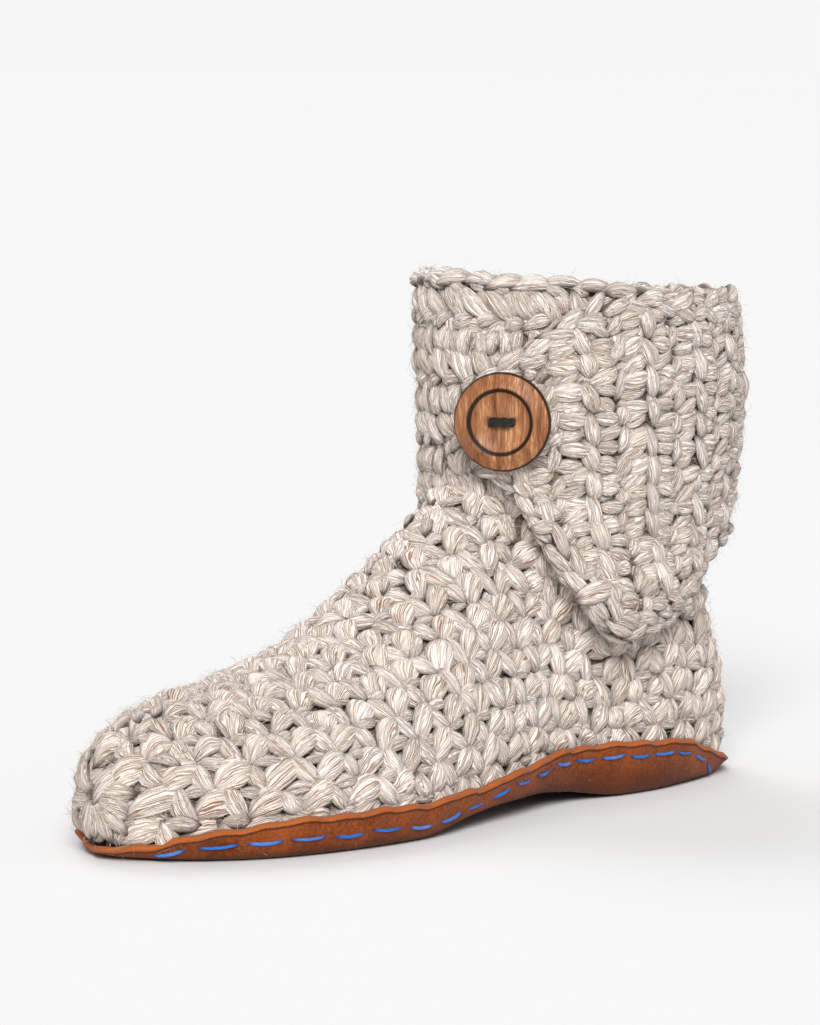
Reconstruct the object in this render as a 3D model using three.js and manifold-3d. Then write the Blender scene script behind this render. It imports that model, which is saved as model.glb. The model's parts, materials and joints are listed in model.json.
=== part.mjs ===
// Crocheted wool house boot for the left foot, with a suede sole and a flap closed by one wooden button.
// X runs across the foot to its outer side, Y from toe to heel, Z up. The boot stands on Z = 0.
import * as THREE from "three";
import { mergeVertices } from "three/addons/utils/BufferGeometryUtils.js";
import Module from "manifold-3d";

// Driving dimensions in millimetres
const footLength = 258; // wool along the sole, heel to toe
const halfBall = 45; // half the width of the wool across the ball
const throatHeight = 97; // front of the ankle, where instep and shaft meet
const ankleBackHeight = 60; // back of the ankle, over the heel
const collarFrontHeight = 162.5;
const collarBackHeight = 153;
const wall = 7; // crocheted wool
const leather = 1.8; // suede
const padding = 5; // insole
const gap = 0.3; // between neighbouring pieces
const edgeClearance = 4 * gap; // from the suede up to the lower edge of the wool
const padClearance = 3 * gap; // from the insole out to the wool
const flapClearance = 2 * gap; // from the raised rows of the shaft out to the flap
const rowRelief = 1.4; // how far a crocheted row stands proud
const footRows = 8;
const shaftRows = 9;
const flapThickness = 6;
const buttonRadius = 15;
const buttonTurn = 27; // degrees round the shaft from its front to its outer side
const buttonHeight = 117.5;
const buttonSwing = 7; // degrees that the button lies turned to the front
const holeSpacing = 6;
const holeRadius = 1.3;
const threadRadius = 0.9;
const threadLeg = 0.8; // how far the thread shows behind the button

// Mesh steps
const half = 30; // ribs on each side, from toe to heel
const loop = 2 * half;
const throatRib = 17; // the last rib that ends on the instep line
const instepCrowding = 1.6; // over 1 sets those ribs closer together at the toe
const outlineSamples = 640; // points measured along the outline
const stepsPerRow = 2;
const buttonSides = 40;
const drillSides = 12;
const threadSteps = 20;
const threadArcSteps = 4;
const mergeWithin = 1e-4; // millimetres

// Outline of the wool on the sole, from the toe round the outer side: along the length and across it
const outline = [
  { spot: "toe tip", along: 1.0, across: -0.06 },
  { spot: "outer toe", along: 0.967, across: 0.35 },
  { spot: "little toe", along: 0.87, across: 0.76 },
  { spot: "outer ball", along: 0.7, across: 0.97 },
  { spot: "outer middle", along: 0.52, across: 0.89 },
  { spot: "outer waist", along: 0.38, across: 0.76 },
  { spot: "outer heel", along: 0.19, across: 0.82 },
  { spot: "outer corner", along: 0.05, across: 0.56 },
  { spot: "heel back", along: 0.0, across: 0.0 },
  { spot: "inner corner", along: 0.045, across: -0.45 },
  { spot: "inner heel", along: 0.18, across: -0.69 },
  { spot: "inner waist", along: 0.38, across: -0.66 },
  { spot: "inner middle", along: 0.55, across: -0.81 },
  { spot: "inner ball", along: 0.72, across: -1.0 },
  { spot: "big toe", along: 0.88, across: -0.77 },
  { spot: "inner toe", along: 0.968, across: -0.42 },
];

// Instep line over the middle of the foot, from toe to throat
const instep = [
  { along: 0.43, height: throatHeight },
  { along: 0.535, height: 75 },
  { along: 0.612, height: 61 },
  { along: 0.69, height: 51 },
  { along: 0.787, height: 44.5 },
  { along: 0.893, height: 41.5 },
];

const instepSwing = -0.07; // toe end of that line, across the foot
const middleHeel = 0.12; // ends of the middle line of the sole, along the length
const middleToe = 0.87;

// How a rib of the foot bends on its way up, by its share of the side from toe (0) to heel (1):
// bulge over the sole in millimetres, then shares of the rise and of the way across
const ribForm = [
  { share: 0.0, bulge: 11, spring: 0.5, lean: 0.6, fall: 0.0 },
  { share: 0.25, bulge: 5.5, spring: 0.55, lean: 0.62, fall: 0.0 },
  { share: 0.45, bulge: 4, spring: 0.5, lean: 0.6, fall: 0.0 },
  { share: 0.57, bulge: 3, spring: 0.45, lean: 0.5, fall: 0.08 },
  { share: 0.68, bulge: 3, spring: 0.35, lean: 0.05, fall: 0.35 },
  { share: 0.85, bulge: 6, spring: 0.38, lean: 0.1, fall: 0.3 },
  { share: 1.0, bulge: 9, spring: 0.4, lean: 0.1, fall: 0.3 },
];

// Shaft sections from the ankle (0) to the collar (1): millimetres from the heel back, and half width
const shaftForm = [
  { rise: 0.0, front: 110, back: 10, half: 36 },
  { rise: 0.3, front: 110.5, back: 5, half: 38 },
  { rise: 0.6, front: 110.5, back: 2, half: 39.5 },
  { rise: 0.82, front: 110.5, back: 4, half: 40 },
  { rise: 1.0, front: 110, back: 8, half: 39.5 },
];

// Height of the sole off the floor along its length: heel and ball are flat, the waist is arched
const soleLift = [
  { along: 0.0, lift: 0 },
  { along: 0.27, lift: 0 },
  { along: 0.36, lift: 3.2 },
  { along: 0.43, lift: 4.8 },
  { along: 0.5, lift: 4.8 },
  { along: 0.56, lift: 3.8 },
  { along: 0.66, lift: 0 },
  { along: 0.86, lift: 0 },
  { along: 1.0, lift: 0.8 },
];

// Turned-up edge of the sole, by the share of the side from toe to heel, with the tuck of the wool inside it
const soleEdge = [
  { share: 0.0, reach: -1, lip: 1.6, tuck: 3.4 },
  { share: 0.05, reach: -0.3, lip: 3.2, tuck: 3.6 },
  { share: 0.1, reach: 1.8, lip: 7, tuck: 4.4 },
  { share: 0.2, reach: 4, lip: 11.5, tuck: 3 },
  { share: 0.38, reach: 5, lip: 11.6, tuck: 2 },
  { share: 0.45, reach: 5, lip: 9.2, tuck: 2 },
  { share: 0.5, reach: 5, lip: 10, tuck: 2 },
  { share: 0.6, reach: 5, lip: 14, tuck: 2 },
  { share: 0.7, reach: 5, lip: 17, tuck: 2.5 },
  { share: 0.77, reach: 4.5, lip: 15.5, tuck: 2.5 },
  { share: 0.82, reach: 4, lip: 11.5, tuck: 2.5 },
  { share: 0.87, reach: 3.5, lip: 6.5, tuck: 2.5 },
  { share: 0.92, reach: 3, lip: 3.2, tuck: 2.5 },
  { share: 1.0, reach: 2.5, lip: 2.5, tuck: 2 },
];

// Section of that edge: millimetres in from the cut edge, and share of the lip
const edgeSection = [
  { inwards: 0, rise: 1 },
  { inwards: 2.2, rise: 0.55 },
  { inwards: 4.2, rise: 0.17 },
  { inwards: 7.5, rise: 0.03 },
  { inwards: 16, rise: 0 },
];

// Flap by the turn round the shaft, in degrees from the front: its lower and upper edge, its thickness,
// and how far it leans outwards for each millimetre that it hangs below the ankle
const flapForm = [
  { turn: 12, low: 111, high: 123, thickness: flapThickness, flare: 0.4 },
  { turn: 15, low: 106, high: 128, thickness: flapThickness, flare: 0.4 },
  { turn: 21, low: 101, high: 133, thickness: flapThickness, flare: 0.4 },
  { turn: 30, low: 94, high: 138, thickness: flapThickness, flare: 0.4 },
  { turn: 50, low: 70, high: 149, thickness: flapThickness, flare: 0.4 },
  { turn: 68, low: 50, high: 156, thickness: flapThickness, flare: 0.3 },
  { turn: 95, low: 56, high: 156, thickness: flapThickness, flare: 0.12 },
  { turn: 130, low: 73, high: 155, thickness: flapThickness, flare: 0 },
  { turn: 180, low: 79, high: 154, thickness: flapThickness, flare: 0 },
  { turn: 200, low: 79, high: 154, thickness: 2, flare: 0 },
];
const flapRows = 15;
const flapSteps = 6; // from the lower to the upper edge

// Button: radius and height of its turned profile, from the middle of its back
const buttonForm = [
  { radius: 0, height: 0 },
  { radius: 13.2, height: 0 },
  { radius: 14.6, height: 0.9 },
  { radius: buttonRadius, height: 2.2 },
  { radius: 14.6, height: 3.2 },
  { radius: 13.6, height: 3.8 },
  { radius: 11.2, height: 5.3 },
  { radius: 10.4, height: 5.6 },
  { radius: 9.6, height: 5.3 },
  { radius: 8.6, height: 4.3 },
  { radius: 6, height: 3.5 },
  { radius: 0, height: 3.1 },
];
const dishHeight = 3.3; // face of the dish at its holes

// Finishes
const wool = new THREE.MeshStandardMaterial({ color: 0xcfc3b3, roughness: 0.95, metalness: 0 });
const pad = new THREE.MeshStandardMaterial({ color: 0xb9ab98, roughness: 0.95, metalness: 0 });
const suede = new THREE.MeshStandardMaterial({ color: 0x8c4a24, roughness: 0.9, metalness: 0 });
const wood = new THREE.MeshStandardMaterial({ color: 0xb0743f, roughness: 0.5, metalness: 0 });
const blackThread = new THREE.MeshStandardMaterial({ color: 0x15120f, roughness: 0.8, metalness: 0 });

// Value of a column at a place along a table, smooth through its rows and with no overshoot
function valueAt(table, key, column, at) {
  const last = table.length - 1;
  const place = THREE.MathUtils.clamp(at, table[0][key], table[last][key]);
  let row = 0;
  while (row < last - 1 && place > table[row + 1][key]) row += 1;
  const width = (r) => table[r + 1][key] - table[r][key];
  const secant = (r) => (table[r + 1][column] - table[r][column]) / width(r);
  const slope = (r) => {
    if (r === 0) return secant(0);
    if (r === last) return secant(last - 1);
    const before = secant(r - 1);
    const after = secant(r);
    return before * after <= 0 ? 0 : (2 * before * after) / (before + after);
  };
  const t = (place - table[row][key]) / width(row);
  const mix = t * t * (3 - 2 * t);
  const level = THREE.MathUtils.lerp(table[row][column], table[row + 1][column], mix);
  const bend = slope(row) * t * (1 - t) ** 2 + slope(row + 1) * t * t * (t - 1);
  return level + bend * width(row);
}

// The foot stands with its heel back at Y = 0 and its toe at Y = -footLength
const partner = (rib) => (loop - rib) % loop;
const share = (rib) => Math.min(rib, loop - rib) / half;
const alongAt = (point) => THREE.MathUtils.clamp(-point.y / footLength, 0, 1);
const liftAt = (point) => valueAt(soleLift, "along", "lift", alongAt(point));

// Points at equal steps along each side of the outline, and the way out of it at each
function outlineRibs() {
  const spots = outline.map((row) => new THREE.Vector3(row.across * halfBall, -row.along * footLength, 0));
  const curve = new THREE.CatmullRomCurve3(spots, true, "centripetal");
  const heelSpot = outline.findIndex((row) => row.spot === "heel back");
  const points = curve.getSpacedPoints(outlineSamples);
  const lengths = curve.getLengths(outline.length);
  const heelShare = lengths[heelSpot] / lengths[outline.length];
  const ribs = [];
  for (let rib = 0; rib < loop; rib += 1) {
    const place = rib <= half ? heelShare * share(rib) : 1 - (1 - heelShare) * share(rib);
    const spot = points[Math.round(place * (points.length - 1)) % (points.length - 1)];
    const way = curve.getTangentAt(place % 1);
    ribs.push({ spot, out: new THREE.Vector3(way.y, -way.x, 0).normalize() });
  }
  return ribs;
}

const ribs = outlineRibs();

// Middle line of the sole, shared by the ribs of both sides
function middleAt(rib) {
  const middle = ribs[rib].spot.clone().lerp(ribs[partner(rib)].spot, 0.5);
  const along = THREE.MathUtils.mapLinear(alongAt(middle), 0, 1, middleHeel, middleToe);
  return new THREE.Vector3(middle.x, -along * footLength, 0);
}

// Height of the lip on a rib, how far it reaches out of the outline, and the tuck of the wool
const lipAt = (rib) => valueAt(soleEdge, "share", "lip", share(rib));
const reachAt = (rib) => valueAt(soleEdge, "share", "reach", share(rib));
const tuckAt = (rib) => valueAt(soleEdge, "share", "tuck", share(rib));

// Share of the lip's height on a rib, at a distance out from the outline
const lipRise = (rib, out) => valueAt(edgeSection, "inwards", "rise", reachAt(rib) - out);

// A point of the sole's outer face on a rib, out from the outline
function soleOuter(rib, out, rise) {
  const point = ribs[rib].spot.clone().addScaledVector(ribs[rib].out, out);
  point.z = liftAt(point) + lipAt(rib) * rise;
  return point;
}

// Shaft surface: turn in radians from the front to the outer side, rise from the ankle to the collar
const toBack = (turn) => (1 - Math.cos(turn)) / 2;
const ankleAt = (turn) => THREE.MathUtils.lerp(throatHeight, ankleBackHeight, toBack(turn));
const collarAt = (turn) => THREE.MathUtils.lerp(collarFrontHeight, collarBackHeight, toBack(turn));

function shaftPoint(turn, rise) {
  const front = valueAt(shaftForm, "rise", "front", rise);
  const back = valueAt(shaftForm, "rise", "back", rise);
  const across = valueAt(shaftForm, "rise", "half", rise) * Math.sin(turn);
  const along = (front + back) / 2 + ((front - back) / 2) * Math.cos(turn);
  return new THREE.Vector3(across, -along, THREE.MathUtils.lerp(ankleAt(turn), collarAt(turn), rise));
}

const ribTurn = (rib) => (2 * Math.PI * (rib - throatRib)) / (loop - 2 * throatRib);
const endsOnInstep = (rib) => share(rib) * half <= throatRib;

// Top end of a foot rib: on the instep line, or on the ankle
function ribTop(rib) {
  if (!endsOnInstep(rib)) return shaftPoint(ribTurn(rib), 0);
  const toThroat = (share(rib) * half) / throatRib;
  const toeEnd = instep[instep.length - 1].along;
  const along = THREE.MathUtils.lerp(toeEnd, instep[0].along, toThroat ** instepCrowding);
  const swing = THREE.MathUtils.lerp(instepSwing, 0, toThroat) * halfBall;
  return new THREE.Vector3(swing, -along * footLength, valueAt(instep, "along", "height", along));
}

// A rib of the foot from the sole edge to its top
function footRib(rib) {
  const bottom = soleOuter(rib, -tuckAt(rib), lipRise(rib, -tuckAt(rib)));
  bottom.z += leather + edgeClearance;
  const top = ribTop(rib);
  const form = (column) => valueAt(ribForm, "share", column, share(rib));
  const rise = top.z - bottom.z;
  const lower = bottom.clone().addScaledVector(ribs[rib].out, form("bulge"));
  lower.z += form("spring") * rise;
  const upper = top.clone().lerp(new THREE.Vector3(bottom.x, bottom.y, top.z), form("lean"));
  upper.z -= form("fall") * rise;
  return new THREE.CubicBezierCurve3(bottom, lower, upper, top);
}

// Faces of a grid of vertex numbers, running round and up
function gridFaces(numberAt, rounds, levels, closed) {
  const faces = [];
  for (let round = 0; round < rounds - (closed ? 0 : 1); round += 1) {
    for (let level = 0; level < levels - 1; level += 1) {
      const next = (round + 1) % rounds;
      const corners = [numberAt(round, level), numberAt(next, level)];
      corners.push(numberAt(next, level + 1), numberAt(round, level + 1));
      faces.push([corners[0], corners[1], corners[2]], [corners[0], corners[2], corners[3]]);
    }
  }
  return faces.filter((face) => new Set(face).size === 3);
}

// A closed wall between two offsets of an open skin, each given for a vertex along its normal
function shell(points, faces, outward, inward) {
  const skin = new THREE.BufferGeometry().setFromPoints(points);
  skin.setIndex(faces.flat());
  skin.computeVertexNormals();
  const normals = skin.getAttribute("normal");
  const offset = (amount) => (point, number) =>
    point.clone().addScaledVector(new THREE.Vector3().fromBufferAttribute(normals, number), amount(number));
  const count = points.length;
  const all = [...points.map(offset(outward)), ...points.map(offset((number) => -inward(number)))];
  const triangles = [...faces, ...faces.map((face) => [face[0], face[2], face[1]].map((n) => n + count))];
  const edges = new Map();
  for (const face of faces) {
    face.forEach((from, side) => edges.set(`${from} ${face[(side + 1) % 3]}`, [from, face[(side + 1) % 3]]));
  }
  for (const [from, to] of edges.values()) {
    if (edges.has(`${to} ${from}`)) continue;
    triangles.push([to, from, from + count], [to, from + count, to + count]);
  }
  const wallGeometry = new THREE.BufferGeometry().setFromPoints(all);
  wallGeometry.setIndex(triangles.flat());
  return wallGeometry;
}

// Upper: foot and shaft crocheted in one, open underneath and at the collar, with its rows raised
function upperGeometry() {
  const footLevels = footRows * stepsPerRow;
  const shaftLevels = shaftRows * stepsPerRow;
  const points = [];
  const steps = [];
  const numbers = new Map();
  const add = (key, point, step) => {
    numbers.set(key, points.length);
    points.push(point);
    steps.push(step);
  };
  for (let rib = 0; rib < loop; rib += 1) {
    const curve = footRib(rib);
    for (let level = 0; level < footLevels; level += 1) {
      add(`${rib} ${level}`, curve.getPointAt(level / footLevels), level);
    }
    if (rib <= half || !endsOnInstep(rib)) add(`${rib} ${footLevels}`, ribTop(rib), footLevels);
    else numbers.set(`${rib} ${footLevels}`, numbers.get(`${partner(rib)} ${footLevels}`));
    if (rib < throatRib || rib >= loop - throatRib) continue;
    for (let level = 1; level <= shaftLevels; level += 1) {
      const point = shaftPoint(ribTurn(rib), level / shaftLevels);
      add(`${rib} ${footLevels + level}`, point, footLevels + level);
    }
  }
  const foot = gridFaces((rib, level) => numbers.get(`${rib} ${level}`), loop, footLevels + 1, true);
  const shaftNumber = (place, level) => numbers.get(`${place + throatRib} ${level + footLevels}`);
  const shaft = gridFaces(shaftNumber, loop - 2 * throatRib, shaftLevels + 1, true);
  const raised = (step) => step % stepsPerRow !== 0 && step !== footLevels - 1;
  const relief = (number) => (raised(steps[number]) ? rowRelief : 0);
  return shell(points, [...foot, ...shaft], relief, () => wall);
}

// Skin that spreads from the middle line of the sole to given points of each rib
function bottomSkin(rimOf) {
  const points = [];
  const numbers = new Map();
  const levels = rimOf(0).length + 2;
  for (let rib = 0; rib < loop; rib += 1) {
    const rim = rimOf(rib);
    const middle = middleAt(rib);
    const between = middle.clone().lerp(rim[0], 0.5);
    middle.z = rim[0].z - liftAt(rim[0]) + liftAt(middle);
    between.z = rim[0].z - liftAt(rim[0]) + liftAt(between);
    const places = [middle, between, ...rim];
    places.forEach((point, level) => {
      const shared = level === 0 && rib > half;
      numbers.set(`${rib} ${level}`, shared ? numbers.get(`${partner(rib)} 0`) : points.length);
      if (!shared) points.push(point);
    });
  }
  const faces = gridFaces((rib, level) => numbers.get(`${rib} ${level}`), loop, levels, true);
  return { points, faces };
}

// Sole: one sheet of suede, flat under heel and ball, arched at the waist, its edge turned up round the wool
function soleGeometry() {
  const section = [...edgeSection].reverse();
  const skin = bottomSkin((rib) =>
    section.map((row) => soleOuter(rib, reachAt(rib) - row.inwards, row.rise)),
  );
  return shell(skin.points, skin.faces, () => 0, () => leather);
}

// Insole: a wool pad on the sole, inside the wall of the upper
function insoleGeometry() {
  const skin = bottomSkin((rib) => {
    const edge = -(tuckAt(rib) + wall + padClearance);
    const point = soleOuter(rib, edge, lipRise(rib, edge));
    point.z += leather + gap;
    return [point];
  });
  return shell(skin.points, skin.faces, () => 0, () => padding);
}

// Flap: a crocheted panel over the outer side of the shaft, from the back to its rounded tip
const flapInside = rowRelief + flapClearance;

function flapPoint(turnDegrees, height) {
  const turn = THREE.MathUtils.degToRad(turnDegrees);
  const rise = (height - ankleAt(turn)) / (collarAt(turn) - ankleAt(turn));
  const point = shaftPoint(turn, Math.max(rise, 0));
  const outwards = shaftPoint(turn, 0.5).setZ(0).sub(shaftPoint(turn + Math.PI, 0.5).setZ(0)).normalize();
  const lean = valueAt(flapForm, "turn", "flare", turnDegrees);
  point.addScaledVector(outwards, Math.max(ankleAt(turn) - height, 0) * lean);
  return point.setZ(height);
}

function flapGeometry() {
  const columns = flapRows * stepsPerRow + 1;
  const first = flapForm[0].turn;
  const last = flapForm[flapForm.length - 1].turn;
  const points = [];
  const thicknesses = [];
  for (let column = 0; column < columns; column += 1) {
    const turn = THREE.MathUtils.lerp(first, last, column / (columns - 1));
    const low = valueAt(flapForm, "turn", "low", turn);
    const high = valueAt(flapForm, "turn", "high", turn);
    thicknesses.push(valueAt(flapForm, "turn", "thickness", turn));
    for (let step = 0; step <= flapSteps; step += 1) {
      points.push(flapPoint(turn, THREE.MathUtils.lerp(low, high, step / flapSteps)));
    }
  }
  const faces = gridFaces((column, step) => column * (flapSteps + 1) + step, columns, flapSteps + 1, false);
  const columnOf = (number) => Math.floor(number / (flapSteps + 1));
  const relief = (number) => (columnOf(number) % stepsPerRow === 0 ? 0 : rowRelief);
  const outside = (number) => flapInside + thicknesses[columnOf(number)] + relief(number);
  return shell(points, faces, outside, () => -flapInside);
}

// Closed solids to cut and join
const wasm = await Module();
wasm.setup();

function toSolid(geometry) {
  const bare = geometry.clone();
  bare.deleteAttribute("normal");
  bare.deleteAttribute("uv");
  const merged = mergeVertices(bare, mergeWithin);
  const vertProperties = new Float32Array(merged.getAttribute("position").array);
  const triVerts = new Uint32Array(merged.index.array);
  return new wasm.Manifold(new wasm.Mesh({ numProp: 3, vertProperties, triVerts }));
}

function toGeometry(solid) {
  const mesh = solid.getMesh();
  const geometry = new THREE.BufferGeometry();
  geometry.setAttribute("position", new THREE.BufferAttribute(mesh.vertProperties, 3));
  geometry.setIndex(new THREE.BufferAttribute(mesh.triVerts, 1));
  return geometry;
}

// Button: turned wood with a raised lip, a dished face and two holes, its back at Z = 0
function buttonGeometry() {
  const profile = buttonForm.map((row) => new THREE.Vector2(row.radius, row.height));
  let body = toSolid(new THREE.LatheGeometry(profile, buttonSides).rotateX(Math.PI / 2));
  for (const side of [-1, 1]) {
    const drill = new THREE.CylinderGeometry(holeRadius, holeRadius, 4 * dishHeight, drillSides);
    drill.rotateX(Math.PI / 2).translate((side * holeSpacing) / 2, 0, 0);
    body = body.subtract(toSolid(drill));
  }
  return toGeometry(body);
}

// Thread: a bar over the dish with two legs down through the holes
function threadGeometry() {
  const top = dishHeight + gap + threadRadius;
  const reach = holeSpacing / 2;
  const path = new THREE.CurvePath();
  const corners = [
    new THREE.Vector3(-reach, 0, -threadLeg),
    new THREE.Vector3(-reach, 0, top - threadRadius),
    new THREE.Vector3(-reach + threadRadius, 0, top),
    new THREE.Vector3(reach - threadRadius, 0, top),
    new THREE.Vector3(reach, 0, top - threadRadius),
    new THREE.Vector3(reach, 0, -threadLeg),
  ];
  corners.slice(1).forEach((corner, number) => path.add(new THREE.LineCurve3(corners[number], corner)));
  const section = new THREE.Shape().absarc(0, 0, threadRadius, 0, 2 * Math.PI);
  const mesh = { steps: threadSteps, curveSegments: threadArcSteps, extrudePath: path };
  return new THREE.ExtrudeGeometry(section, mesh);
}

// Assembly
const boot = new THREE.Group();

function addPiece(parent, name, geometry, material) {
  const mesh = new THREE.Mesh(geometry, material);
  mesh.name = name;
  parent.add(mesh);
  return mesh;
}

addPiece(boot, "sole", soleGeometry(), suede);
addPiece(boot, "insole", insoleGeometry(), pad);
addPiece(boot, "upper", upperGeometry(), wool);
addPiece(boot, "cuff_flap", flapGeometry(), wool);

// The button lies on the tip of the flap and faces straight out of the shaft there
const fastening = new THREE.Group();
const seat = flapPoint(buttonTurn, buttonHeight);
const ahead = flapPoint(buttonTurn + 1, buttonHeight);
ahead.sub(flapPoint(buttonTurn - 1, buttonHeight)).normalize();
const facing = new THREE.Vector3(ahead.y, -ahead.x, 0);
const upwards = new THREE.Vector3(0, 0, 1);
const flapFace = flapInside + flapThickness + rowRelief;
fastening.position.copy(seat).addScaledVector(facing, flapFace + 2 * gap);
fastening.quaternion.setFromRotationMatrix(new THREE.Matrix4().makeBasis(ahead, upwards, facing));
fastening.rotateOnWorldAxis(upwards, THREE.MathUtils.degToRad(-buttonSwing));
addPiece(fastening, "button", buttonGeometry(), wood);
addPiece(fastening, "button_thread", threadGeometry(), blackThread);
boot.add(fastening);

// The origin lies under the middle of the boot
const bounds = new THREE.Box3().setFromObject(boot);
const middle = bounds.getCenter(new THREE.Vector3());
boot.position.set(-middle.x, -middle.y, -bounds.min.z);

export default new THREE.Group().add(boot);
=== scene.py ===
import json
import math

import bmesh
import bpy
import numpy as np
from mathutils import Matrix, Vector

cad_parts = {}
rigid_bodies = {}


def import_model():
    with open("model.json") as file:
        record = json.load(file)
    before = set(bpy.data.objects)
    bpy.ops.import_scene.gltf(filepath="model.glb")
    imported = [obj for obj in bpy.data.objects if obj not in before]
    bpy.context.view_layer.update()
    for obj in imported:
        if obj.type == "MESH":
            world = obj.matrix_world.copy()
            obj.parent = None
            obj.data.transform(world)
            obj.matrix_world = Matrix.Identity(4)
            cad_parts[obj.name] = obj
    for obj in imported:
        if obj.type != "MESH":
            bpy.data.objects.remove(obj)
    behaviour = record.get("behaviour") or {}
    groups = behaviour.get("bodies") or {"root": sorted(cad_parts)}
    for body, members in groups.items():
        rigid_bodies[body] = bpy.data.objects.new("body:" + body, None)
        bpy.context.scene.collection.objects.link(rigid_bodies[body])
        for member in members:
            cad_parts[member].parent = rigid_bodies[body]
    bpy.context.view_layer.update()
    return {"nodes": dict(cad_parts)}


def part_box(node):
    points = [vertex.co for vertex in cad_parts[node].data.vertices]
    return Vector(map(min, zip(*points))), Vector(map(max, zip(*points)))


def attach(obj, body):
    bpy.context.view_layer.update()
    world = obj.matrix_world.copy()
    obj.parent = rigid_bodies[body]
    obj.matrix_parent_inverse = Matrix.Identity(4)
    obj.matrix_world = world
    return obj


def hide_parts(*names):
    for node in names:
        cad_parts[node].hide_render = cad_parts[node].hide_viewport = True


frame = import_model()
scene = bpy.context.scene
millimetre = 0.001
fullTurn = 2 * math.pi
rng = np.random.default_rng(27)
print("frame loaded:", sorted(frame["nodes"]))


# Form of the boot in millimetres: heel back at y 0, toe at minus the length, as in the solids
boot = {
    "length": 258,
    "halfBall": 45,
    "throat": 97,
    "ankleBack": 60,
    "collarFront": 162.5,
    "collarBack": 153,
    "wall": 7,
    "leather": 1.8,
    "padding": 5,
    "gap": 0.3,
    "rowRelief": 1.4,
    "throatShare": 17 / 30,  # side ribs up to here end on the instep line
    "instepCrowding": 1.6,
    "instepSwing": -0.07,
    "middleEnds": (0.12, 0.87),  # of the sole's middle line, as shares of the length
    "ribSamples": 80,
}
outline = {
    "along": [1, 0.967, 0.87, 0.7, 0.52, 0.38, 0.19, 0.05, 0,
              0.045, 0.18, 0.38, 0.55, 0.72, 0.88, 0.968],
    "across": [-0.06, 0.35, 0.76, 0.97, 0.89, 0.76, 0.82, 0.56, 0,
               -0.45, -0.69, -0.66, -0.81, -1, -0.77, -0.42],
    "heelSpot": 8,  # number of the spot at the heel back
    "samples": 60,  # between two spots
}
instep = {"along": [0.43, 0.535, 0.612, 0.69, 0.787, 0.893], "height": [97, 75, 61, 51, 44.5, 41.5]}
ribForm = {
    "share": [0, 0.25, 0.45, 0.57, 0.68, 0.85, 1],
    "bulge": [11, 5.5, 4, 3, 3, 6, 9],
    "spring": [0.5, 0.55, 0.5, 0.45, 0.35, 0.38, 0.4],
    "lean": [0.6, 0.62, 0.6, 0.5, 0.05, 0.1, 0.1],
    "fall": [0, 0, 0, 0.08, 0.35, 0.3, 0.3],
}
shaftForm = {
    "rise": [0, 0.3, 0.6, 0.82, 1],
    "front": [110, 110.5, 110.5, 110.5, 110],
    "back": [10, 5, 2, 4, 8],
    "half": [36, 38, 39.5, 40, 39.5],
}
soleLift = {"along": [0, 0.27, 0.36, 0.43, 0.5, 0.56, 0.66, 0.86, 1],
            "lift": [0, 0, 3.2, 4.8, 4.8, 3.8, 0, 0, 0.8]}
soleEdge = {
    "share": [0, 0.05, 0.1, 0.2, 0.38, 0.45, 0.5, 0.6, 0.7, 0.77, 0.82, 0.87, 0.92, 1],
    "reach": [-1, -0.3, 1.8, 4, 5, 5, 5, 5, 5, 4.5, 4, 3.5, 3, 2.5],
    "lip": [1.6, 3.2, 7, 11.5, 11.6, 9.2, 10, 14, 17, 15.5, 11.5, 6.5, 3.2, 2.5],
    "tuck": [3.4, 3.6, 4.4, 3, 2, 2, 2, 2, 2.5, 2.5, 2.5, 2.5, 2.5, 2],
}
edgeSection = {"in": [0, 2.2, 4.2, 7.5, 16], "rise": [1, 0.55, 0.17, 0.03, 0]}  # in from the cut edge
flapForm = {
    "turn": [12, 15, 21, 30, 50, 68, 95, 130, 180, 200],
    "low": [111, 106, 101, 94, 70, 50, 56, 73, 79, 79],
    "high": [123, 128, 133, 138, 149, 156, 156, 155, 154, 154],
    "thickness": [6, 6, 6, 6, 6, 6, 6, 6, 6, 2],
    "flare": [0.4, 0.4, 0.4, 0.4, 0.4, 0.3, 0.12, 0, 0, 0],
}
flapStart, flapEnd = flapForm["turn"][0], flapForm["turn"][-1]
apart = {"share": 0.002, "turn": 0.01, "rise": 0.02, "level": 0.5, "height": 1}  # half steps for slopes


def valueAt(table, column, at):
    # smooth through the rows of a table, with no overshoot; the first column is the key
    keys = np.array(next(iter(table.values())), float)
    values = np.array(table[column], float)
    at = np.clip(at, keys[0], keys[-1])
    row = np.clip(np.searchsorted(keys, at) - 1, 0, len(keys) - 2)
    step = np.diff(keys)
    secant = np.diff(values) / step
    product = secant[:-1] * secant[1:]
    total = np.where(product > 0, secant[:-1] + secant[1:], 1)
    inner = np.where(product > 0, 2 * product / total, 0)
    slope = np.concatenate([secant[:1], inner, secant[-1:]])
    t = (at - keys[row]) / step[row]
    level = values[row] + (values[row + 1] - values[row]) * t * t * (3 - 2 * t)
    bend = slope[row] * t * (1 - t) ** 2 + slope[row + 1] * t * t * (t - 1)
    return level + bend * step[row]


def unit(vectors):
    return vectors / np.maximum(np.linalg.norm(vectors, axis=-1, keepdims=True), 1e-9)


def mix(a, b, t):
    return a + (b - a) * t


def runLengths(points, pitch=1):
    # how far along a line each of its points is, counted in pitches
    return np.concatenate([[0], np.cumsum(np.linalg.norm(np.diff(points, axis=0), axis=1) / pitch)])


def onLine(places, lengths, points):
    return np.column_stack([np.interp(places, lengths, column) for column in points.T])


def evenSteps(points, steps):
    lengths = runLengths(points)
    return onLine(np.linspace(0, lengths[-1], steps + 1), lengths, points)


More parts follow.
